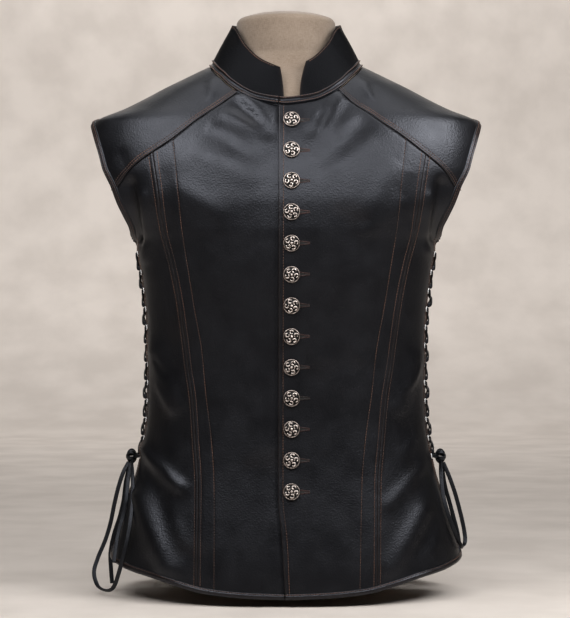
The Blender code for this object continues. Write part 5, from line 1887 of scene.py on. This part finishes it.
# The laced side: its eyelets, its knot, and how far the lace stands from the leather's surface.
EYELET_ROWS = 12
EYELET_TOP = 0.431
EYELET_STEP = 0.0237
EYELET_Y = 0.023
EYELET_RADIUS = 0.0025
EYELET_WIRE = (0.0030, 0.00062)
EYELET_LIFT = 0.0003
KNOT_HEIGHT = 0.167
KNOT_Y = -0.004
KNOT_OUT = 0.0105
KNOT_SIZE = (0.0068, 0.0090, 0.0098)
LACE_INNER = -0.0042
LACE_OUTER = 0.0017
LACE_LEAN = 0.0006
# How the lace passes a crossing, the steps of its lines, and the knot's turns: tilt, size, lean.
CROSSING_SPREAD = 0.0010
CROSSING_SHARES = (0.55, 0.0, -0.55)
CROSSING_LIFT = 0.0004
LACE_STEP = 0.0012
BOW_STEP = 0.0016
KNOT_TURNS = ((0.2, 1.10, 0.0), (1.25, 1.0, 0.0009), (-0.75, 0.98, -0.0012), (2.2, 0.9, 0.0))
KNOT_POINTS, KNOT_WIDTH, KNOT_INSET = 40, 0.9, 0.0008
# Where the lace starts, how far along the way to the next row it crosses and dips behind the
# edge, and how it is squeezed in an eyelet: its width, its thickness, and from where to where.
LACE_START = 0.0004
CROSSING_HALF, DIP = 0.9, 0.85
SQUEEZE = (0.74, 1.15)
SQUEEZE_REACH = (0.002, 0.005)
# How far each crossing stands out from the top down, in millimetres, on each side.
CROSSINGS = {
    1: (2.2, 1.9, 4.6, 1.9, 2.0, 3.4, 1.9, 3.6, 2.0, 3.2, 2.2),
    -1: (2.2, 2.8, 1.9, 3.2, 1.9, 2.0, 2.2, 3.3, 2.0, 2.4, 2.2),
}

# Free ends of the laces beyond each knot: x, y, height over the base.
BOW_ROUTES = {
    "bow_loop_right": (
        (-0.2100, -0.0120, 0.1560),
        (-0.2160, -0.0150, 0.1380),
        (-0.2215, -0.0170, 0.1150),
        (-0.2265, -0.0190, 0.0900),
        (-0.2330, -0.0220, 0.0680),
        (-0.2420, -0.0260, 0.0460),
        (-0.2465, -0.0320, 0.0280),
        (-0.2410, -0.0400, 0.0120),
        (-0.2290, -0.0490, 0.0070),
        (-0.2190, -0.0610, 0.0130),
        (-0.2110, -0.0770, 0.0330),
        (-0.2040, -0.0790, 0.0600),
        (-0.1985, -0.0730, 0.0860),
        (-0.1960, -0.0620, 0.1120),
        (-0.1955, -0.0480, 0.1340),
        (-0.1975, -0.0300, 0.1580),
    ),
    "bow_tail_right": (
        (-0.2080, -0.0020, 0.1420),
        (-0.2110, -0.0020, 0.1180),
        (-0.2160, -0.0040, 0.0960),
        (-0.2230, -0.0060, 0.0740),
        (-0.2275, -0.0080, 0.0500),
        (-0.2265, -0.0100, 0.0280),
        (-0.2250, -0.0120, 0.0110),
    ),
    "bow_tail_right_short": (
        (-0.2035, -0.0230, 0.1460),
        (-0.2050, -0.0330, 0.1220),
        (-0.2090, -0.0370, 0.1010),
        (-0.2150, -0.0460, 0.0760),
        (-0.2185, -0.0610, 0.0440),
    ),
    "bow_loop_left": (
        (0.2110, -0.0100, 0.1500),
        (0.2180, -0.0130, 0.1300),
        (0.2240, -0.0150, 0.1080),
        (0.2290, -0.0170, 0.0860),
        (0.2310, -0.0210, 0.0690),
        (0.2275, -0.0280, 0.0600),
        (0.2225, -0.0380, 0.0660),
        (0.2140, -0.0440, 0.0850),
        (0.2060, -0.0430, 0.1080),
        (0.2010, -0.0360, 0.1300),
        (0.1995, -0.0240, 0.1560),
    ),
    "bow_tail_left": (
        (0.2065, -0.0005, 0.1370),
        (0.2120, -0.0010, 0.1170),
        (0.2175, -0.0030, 0.0960),
        (0.2220, -0.0060, 0.0780),
        (0.2245, -0.0080, 0.0630),
    ),
}


def side_place(side: int, y: float, height: float, out: float) -> Array:
    """Returns a point over the laced side, at a distance out from the leather's surface."""
    turn = np.array(float(turn_at_depth(abs(y), height, 1 if y <= 0 else -1)))
    level = np.array(height)
    return (ring_point(turn, level) + ring_normal(turn, level) * out) * (side, 1, 1)


def knot_centre(side: int) -> Array:
    """Returns the middle of a side's knot."""
    return side_place(side, KNOT_Y, KNOT_HEIGHT, KNOT_OUT)


def knot_seat(side: int, target: Array) -> Array:
    """Returns the place on a knot's surface that faces a point."""
    toward = unit(np.asarray(target) - knot_centre(side))
    return knot_centre(side) + toward / np.linalg.norm(toward / KNOT_SIZE)


def curve_through(route: Array, every: float) -> Array:
    """Returns points spread evenly along a smooth curve through a route's own points."""
    route = np.asarray(route, float)
    padded = np.vstack([2 * route[0] - route[1], route, 2 * route[-1] - route[-2]])
    dense = []
    for a, b, c, d in zip(padded, padded[1:], padded[2:], padded[3:]):
        for t in np.linspace(0, 1, 12, endpoint=False):
            bend = (2 * a - 5 * b + 4 * c - d) * t**2 + (3 * b - a - 3 * c + d) * t**3
            dense.append(0.5 * (2 * b + (c - a) * t + bend))
    dense = np.array([*dense, route[-1]])
    length = lengths(dense)
    at = np.linspace(0, length[-1], max(round(length[-1] / every), 4))
    return read_along(dense, length, at)


@dataclass
class Thong:
    """A flat leather thong with rounded edges, swept along its centreline."""

    width: float = 0.0054
    thick: float = 0.0017
    corners: int = 3

    def section(self) -> Array:
        """Returns the section's points as shares of the half width and half thickness."""
        round_x = self.thick / self.width
        found = []
        for quarter, (sx, sy) in enumerate(((1, 1), (-1, 1), (-1, -1), (1, -1))):
            for k in range(self.corners + 1):
                angle = math.pi / 2 * (quarter + k / self.corners)
                x = sx * (1 - round_x) + round_x * math.cos(angle)
                found.append((x, sy * 0.15 + 0.85 * math.sin(angle)))
        return np.array(found)

    def sweep(
        self, line: Array, across: Array, scale: Array, closed: bool = False
    ) -> tuple[Array, list]:
        """Sweeps the section.

        Args:
            line: the centreline.
            across: at each of its points, roughly the way the thong's width lies.
            scale: at each point, shares of the width and the thickness.
            closed: whether the line comes back to its start.

        Returns:
            The points and faces.
        """
        if closed:
            tangent = unit(np.roll(line, -1, axis=0) - np.roll(line, 1, axis=0))
        else:
            tangent = unit(np.gradient(line, axis=0))
        across = unit(across - (across * tangent).sum(axis=1, keepdims=True) * tangent)
        out = np.cross(tangent, across)
        half = np.array([self.width, self.thick]) / 2 * scale
        shape = self.section()
        points = (
            line[:, None]
            + across[:, None] * shape[None, :, :1] * half[:, None, :1]
            + out[:, None] * shape[None, :, 1:] * half[:, None, 1:]
        )
        index = numbered(len(line), len(shape))
        if closed:
            index = np.vstack([index, index[:1]])
        ends = [] if closed else [index[0, ::-1].tolist(), index[-1].tolist()]
        return points.reshape(-1, 3), quads_of(looped(index)).tolist() + ends


@dataclass
class Lacing:
    """One side's eyelets, its criss-cross thong in two halves, its knot and hanging ends."""

    label: str
    side: int
    thong: Thong = field(default_factory=Thong)

    def eyelet_places(self, face: int, out: float) -> list[Matrix]:
        """Returns where the eyelets of the front (-1) or back (+1) edge stand."""
        found = []
        for row in range(EYELET_ROWS):
            height = EYELET_TOP - EYELET_STEP * row
            point = side_place(self.side, face * EYELET_Y, height, out)
            outer = side_place(self.side, face * EYELET_Y, height, out + WALL)
            found.append(standing(point, unit(outer - point)))
        return found

    def cut(self, panel: Object, face: int) -> None:
        """Cuts a panel's eyelet holes through."""
        bpy.ops.mesh.primitive_cylinder_add(vertices=24, radius=EYELET_RADIUS, depth=0.008)
        pattern = bpy.context.active_object
        cutter = copies(f"{panel.name}_cutter", pattern, self.eyelet_places(face, 0.0))
        bpy.data.objects.remove(pattern)
        bpy.ops.object.select_all(action="DESELECT")
        bpy.context.view_layer.objects.active = panel
        holes = panel.modifiers.new("eyelets", "BOOLEAN")
        holes.operation = "DIFFERENCE"
        holes.solver = "EXACT"
        holes.object = cutter
        panel.select_set(True)
        bpy.ops.object.modifier_apply(modifier=holes.name)
        bpy.data.objects.remove(cutter)

    def eyelets(self, wardrobe: Wardrobe) -> None:
        """Sets the metal eyelets: a rolled rim on each face of the leather."""
        pattern = edit_new("eyelet_pattern", [wardrobe.nickel])
        for level in (0.0, -WALL - 0.0001):
            torus(*EYELET_WIRE, 24, level)
        bpy.ops.object.mode_set(mode="OBJECT")
        places = self.eyelet_places(-1, EYELET_LIFT) + self.eyelet_places(1, EYELET_LIFT)
        report(copies(f"eyelets_{self.label}", pattern, places), Slot.PEWTER)
        bpy.data.objects.remove(pattern)

    def route(self, first: int) -> tuple[Array, Array]:
        """Works out half of the lace, from inside the top row down to the knot.

        Args:
            first: -1 for the half that starts at the front, +1 at the back.

        Returns:
            The centreline, and its scale of width and thickness, narrower in the eyelets.
        """
        inner, outer = LACE_INNER, LACE_OUTER
        face, holes = first, []
        points = [side_place(self.side, face * LACE_START, EYELET_TOP, inner)]
        for row in range(EYELET_ROWS):
            height = EYELET_TOP - EYELET_STEP * row
            holes.append(side_place(self.side, face * EYELET_Y, height, -WALL / 2))
            for lean, out in ((LACE_LEAN, inner), (-LACE_LEAN, outer)):
                points.append(side_place(self.side, face * (EYELET_Y + lean), height, out))
            if row == EYELET_ROWS - 1:
                break
            over = 1 if (row % 2 == 0) == (first > 0) else -1
            crossing = CROSSINGS[self.side][row] / 1000 + over * CROSSING_SPREAD
            middle = height - EYELET_STEP * 0.5
            for share in CROSSING_SHARES:
                level = middle + share * EYELET_STEP * 0.5 * CROSSING_HALF
                depth = outer + (crossing - outer) * (1 - abs(share)) + CROSSING_LIFT
                points.append(side_place(self.side, share * face * EYELET_Y, level, depth))
            face = -face
            edge = face * (LACE_EDGE_Y + LACE_LEAN)
            points.append(side_place(self.side, edge, height - EYELET_STEP * DIP, inner))
        points.append(knot_seat(self.side, points[-1]))
        line = curve_through(points, LACE_STEP)
        away = np.min([np.linalg.norm(line - hole, axis=1) for hole in holes], axis=0)
        start, reach = SQUEEZE_REACH
        share = eased((away - start) / reach)
        return line, np.stack([size + (1 - size) * share for size in SQUEEZE], axis=1)

    def build_laces(self, wardrobe: Wardrobe) -> None:
        """Makes the two halves of the lace."""
        for end, first in (("a", -1), ("b", 1)):
            line, scale = self.route(first)
            upright = np.tile((0.0, 0.0, 1.0), (len(line), 1))
            points, faces = self.thong.sweep(line, upright, scale)
            name = f"lace_{self.label}_{end}"
            report(new_piece(f"{name}_thong", points, faces, [wardrobe.thong]), Slot.THONG, name)

    def build_knot(self, wardrobe: Wardrobe) -> None:
        """Makes the knot: turns of the flat thong wound over one another."""
        centre, points, faces = knot_centre(self.side), [], []
        angle = np.linspace(0, 2 * math.pi, KNOT_POINTS, endpoint=False)
        for tilt, size, lean in KNOT_TURNS:
            flat = [np.cos(angle), np.sin(angle) * math.cos(tilt), np.sin(angle) * math.sin(tilt)]
            line = np.stack(flat, axis=1) * (np.array(KNOT_SIZE) - KNOT_INSET) * size
            line[:, 1] += lean
            across = np.tile((0.0, -math.sin(tilt), math.cos(tilt)), (len(line), 1))
            scale, start = np.full((KNOT_POINTS, 2), KNOT_WIDTH), sum(map(len, points))
            made, quads = self.thong.sweep(line + centre, across, scale, True)
            faces += [[v + start for v in quad] for quad in quads]
            points.append(made)
        name = f"knot_{self.label}"
        knot = new_piece(f"{name}_turns", np.vstack(points), faces, [wardrobe.thong])
        report(knot, Slot.THONG, name)

    def build_bow(self, wardrobe: Wardrobe) -> None:
        for name, route in BOW_ROUTES.items():
            if (route[0][0] > 0) != (self.side > 0):
                continue
            loop, start = "loop" in name, knot_seat(self.side, route[0])
            back = [knot_seat(self.side, route[-1])] if loop else []
            line = curve_through([start, *route, *back], BOW_STEP)
            upright = np.abs(unit(np.gradient(line, axis=0))[:, 2:]) ** 1.5
            facing = np.array((1.0, 0.0, 0.0)) * upright
            across = facing + np.array((0.0, -0.8, 0.55)) * (1 - upright)
            points, faces = self.thong.sweep(line, across, np.ones((len(line), 2)))
            obj = new_piece(f"{name}_thong", points, faces, [wardrobe.thong])
            report(obj, Slot.THONG, name)


@dataclass
class DressForm:
    """The limbless linen covered form: a tapered foot, a torso cut flat at its sides, a neck.

    The clearance rows give a height and the distance in from the leather. The neck's rows give
    a height, the half width, the half depth and where the oval's middle lies.
    """

    sides: int = 120
    rows: int = 90
    side_x: float = 0.187
    side_ease: float = 0.020
    foot: tuple[float, float] = (0.110, 0.056)
    foot_power: float = 0.75
    base: tuple = (0, 0.9, 12)
    torso: tuple[float, float] = (0.145, 0.671)
    neck_levels: tuple = ((0.688, 0.7295, 14), (0.7305, 0.745, 16))
    apex: float = 0.7460
    clearance: tuple = (
        (0.000, 0.0105),
        (0.560, 0.0105),
        (0.590, 0.0085),
        (0.612, 0.0062),
        (0.624, 0.0052),
        (0.638, WALL + 0.0011),
        (0.653, WALL + 0.0011),
        (0.664, 0.0050),
        (0.676, 0.0070),
    )
    neck: tuple = (
        (0.688, 0.0670, 0.0590, 0.0010),
        (0.705, 0.0645, 0.0585, 0.0000),
        (0.7295, 0.0640, 0.0580, 0.0000),
        (0.7355, 0.0605, 0.0548, 0.0000),
        (0.7395, 0.0500, 0.0453, 0.0000),
        (0.7430, 0.0340, 0.0308, 0.0000),
        (0.7450, 0.0150, 0.0136, 0.0000),
    )

    def torso_ring(self, height: float) -> Array:
        """Returns a level ring of the torso, moved in from the leather and cut at the arms."""
        turns = np.linspace(0, 360, self.sides, endpoint=False)
        level = np.full(self.sides, height)
        clear = smooth(level, self.clearance)
        points = ring_point(turns, level) - ring_normal(turns, level) * clear[:, None]
        start = self.side_x - self.side_ease
        over = np.maximum(np.abs(points[:, 0]) - start, 0)
        cut = start + self.side_ease * np.tanh(over / self.side_ease)
        points[:, 0] = np.where(over > 0, np.sign(points[:, 0]) * cut, points[:, 0])
        return points

    def oval(self, half: float, depth: float, middle: float, level: float) -> Array:
        """Returns a level oval."""
        turns = np.radians(np.linspace(0, 360, self.sides, endpoint=False))
        rise = np.full(self.sides, level)
        return np.stack([half * np.sin(turns), middle - depth * np.cos(turns), rise], axis=1)

    def foot_ring(self, share: float, top: Array) -> Array:
        """Returns a ring between the flat foot and the lowest torso ring."""
        ring = self.oval(*self.foot, 0.0, 0.0)
        quarter = share * math.pi / 2
        ring += (top - ring) * math.sin(quarter)
        ring[:, 2] = top[:, 2] * (1 - math.cos(quarter)) ** self.foot_power
        return ring

    def build(self, material: Material) -> Object:
        """Makes the form as one closed body."""
        rings = [self.torso_ring(height) for height in np.linspace(*self.torso, self.rows)]
        rings = [self.foot_ring(share, rings[0]) for share in np.linspace(*self.base)] + rings
        for z in np.concatenate([np.linspace(*levels) for levels in self.neck_levels]):
            rings.append(self.oval(*[float(smooth(z, self.neck, k)) for k in (1, 2, 3)], z + DATUM))
        index = numbered(len(rings), self.sides)
        count, faces = index.size, quads_of(looped(index)).tolist()
        faces.append(index[0, ::-1].tolist())
        tip = [[index[-1, k], index[-1, (k + 1) % self.sides], count] for k in range(self.sides)]
        points = np.vstack([*rings, [(0.0, 0.0, self.apex + DATUM)]])
        return new_piece("dress_form_linen", points, faces + tip, [material])


@dataclass
class Vest:
    """The whole vest on its form."""

    wardrobe: Wardrobe

    def build_panels(self) -> dict[str, Panel]:
        """Makes the leather panels with their stitches and eyelet holes."""
        cutter, made = Cutter(), {}
        panels = [cutter.front(1), cutter.front(-1), cutter.side_piece(1), cutter.side_piece(-1)]
        panels += [cutter.yoke(1), cutter.yoke(-1), cutter.back()]
        lacings = {"side_left": ((1, -1),), "side_right": ((-1, -1),), "back": ((1, 1), (-1, 1))}
        for panel in panels:
            obj = panel.build(self.wardrobe.leather)
            for side, face in lacings.get(panel.name, ()):
                Lacing("", side).cut(obj, face)
            obj.name = f"{panel.name}_leather"
            lines, slots = [panel.surface(row) for row in panel.rows], (Slot.LEATHER, Slot.LEATHER)
            sew(obj, panel.name, slots, lines, self.wardrobe.thread)
            made[panel.name] = panel
        return made

    def build(self) -> None:
        """Makes every piece."""
        panels = self.build_panels()
        collar, thread, trim = Collar(), self.wardrobe.thread, Slot.TRIM
        stand, rows = collar.build_collar(self.wardrobe.collar), collar.collar_lines()
        band, ridges = collar.build_band(self.wardrobe.trim), collar.band_lines()
        slots = (Slot.LEATHER, trim)
        sew(stand, "collar", slots, rows, thread)
        sew(band, "neck_band", (trim, trim), ridges, thread)
        Trims().build(self.wardrobe)
        Closure().build(panels["front_left"], self.wardrobe)
        for label, side in SIDES.items():
            lacing = Lacing(label, side)
            lacing.eyelets(self.wardrobe)
            lacing.build_laces(self.wardrobe)
            lacing.build_knot(self.wardrobe)
            lacing.build_bow(self.wardrobe)
        report(DressForm().build(self.wardrobe.linen), Slot.LINEN, "dress_form")


# The soft lights: name, place, the point each is aimed at, size, power in watts.
LIGHTS = (
    ("front", (-0.04, -0.70, 0.82), (-0.01, -0.12, 0.53), (1.0, 0.28), 4.9),
    ("left", (-0.66, -0.63, 1.19), (-0.15, -0.1, 0.58), (0.55, 0.6), 6.6),
    ("right", (0.81, -0.50, 1.08), (0.18, -0.08, 0.57), (0.6, 0.6), 11.5),
    ("overhead", (0.0, -0.1, 1.95), (0.0, 0.0, 0.5), (1.7, 1.0), 12.0),
    ("wall", (-0.15, 2.5, 3.1), (-0.15, 4.3, 0.70), (4.0, 0.8), 92.0),
)


@dataclass
class Studio:
    """A pale cloth backdrop that sweeps into the floor, soft lights and the photo's camera."""

    eye: tuple[float, float, float] = (-0.0013, -2.6, 0.366)
    lens: float = 116.5
    wall_y: float = 4.3
    wall_top: float = 4.4
    floor_y: float = -2.8
    half_width: float = 3.4
    corner: float = 1.2
    air: float = 0.07

    def plain(self, name: str, light: str, dark: str) -> Material:
        """Returns a pale cloth finish, mottled hand-wide, with painted shade that darkens it
        towards the floor.
        """
        material = bpy.data.materials.new(name)
        material.use_nodes = True
        tree = material.node_tree
        shader = tree.nodes["Principled BSDF"]
        place = add_node(tree, "ShaderNodeTexCoord", {}).outputs["Object"]
        noise = add_node(tree, "ShaderNodeTexNoise", {"Vector": place, "Scale": 7.0, "Detail": 4.0})
        tint = ramp(tree, noise.outputs[0], ((0.35, dark), (0.65, light)))
        # Painted shade: the cloth's colour is scaled from 0.82 at the floor up to full at 0.45 m.
        level = add_node(tree, "ShaderNodeSeparateXYZ", {0: place}).outputs["Z"]
        inputs = {0: level, 1: 0.0, 2: 0.45, 3: 0.82, 4: 1.0}
        shade = add_node(tree, "ShaderNodeMapRange", inputs, interpolation_type="SMOOTHSTEP")
        inputs = {0: tint, "Scale": shade.outputs[0]}
        shaded = add_node(tree, "ShaderNodeVectorMath", inputs, operation="SCALE")
        looks = {"Base Color": shaded.outputs[0], "Roughness": 0.95, "Specular IOR Level": 0.1}
        feed(tree, shader, looks)
        return material

    def sweep(self) -> Object:
        """Makes the floor and the backdrop as one sheet with a rounded corner."""
        angle, radius = np.linspace(0, math.pi / 2, 14), self.corner
        y = [self.floor_y, *(self.wall_y - radius + radius * np.sin(angle)), self.wall_y]
        z = [0.0, *(radius - radius * np.cos(angle)), self.wall_top]
        points = [(x, a, b) for a, b in zip(y, z) for x in (-self.half_width, self.half_width)]
        material = self.plain("mottled_muslin_painted_floor_shade", "e0d7cf", "d3cac2")
        return new_piece("backdrop", np.array(points), quads_of(numbered(len(y), 2)), [material])

    def light(self, name: str, place: tuple, aim: tuple, size: tuple, power: float) -> None:
        """Adds a rectangular soft light aimed at a point."""
        data = bpy.data.lights.new(name, "AREA")
        data.shape = "RECTANGLE"
        data.size, data.size_y, data.energy = *size, power
        obj = bpy.data.objects.new(name, data)
        turned = (Vector(aim) - Vector(place)).to_track_quat("-Z", "Y").to_matrix().to_4x4()
        obj.matrix_world = Matrix.Translation(place) @ turned
        bpy.context.scene.collection.objects.link(obj)

    def build(self) -> None:
        """Sets the stage, the lights, the world and the camera."""
        self.sweep()
        for row in LIGHTS:
            self.light(*row)
        world = bpy.data.worlds.new("studio_air")
        world.use_nodes = True
        background = world.node_tree.nodes["Background"]
        feed(world.node_tree, background, {"Color": linear("dcd3ca"), "Strength": self.air})
        scene = bpy.context.scene
        scene.world = world
        scene.view_settings.view_transform = "Standard"
        camera = bpy.data.objects.new("camera", bpy.data.cameras.new("camera"))
        camera.data.lens = self.lens
        camera.location = self.eye
        camera.rotation_euler = (math.pi / 2, 0, 0)
        scene.collection.objects.link(camera)
        scene.camera = camera


def main() -> None:
    logging.basicConfig(level=logging.INFO, format="%(name)s: %(message)s")
    Vest(Wardrobe()).build()
    Studio().build()


if __name__ == "__main__":
    main()
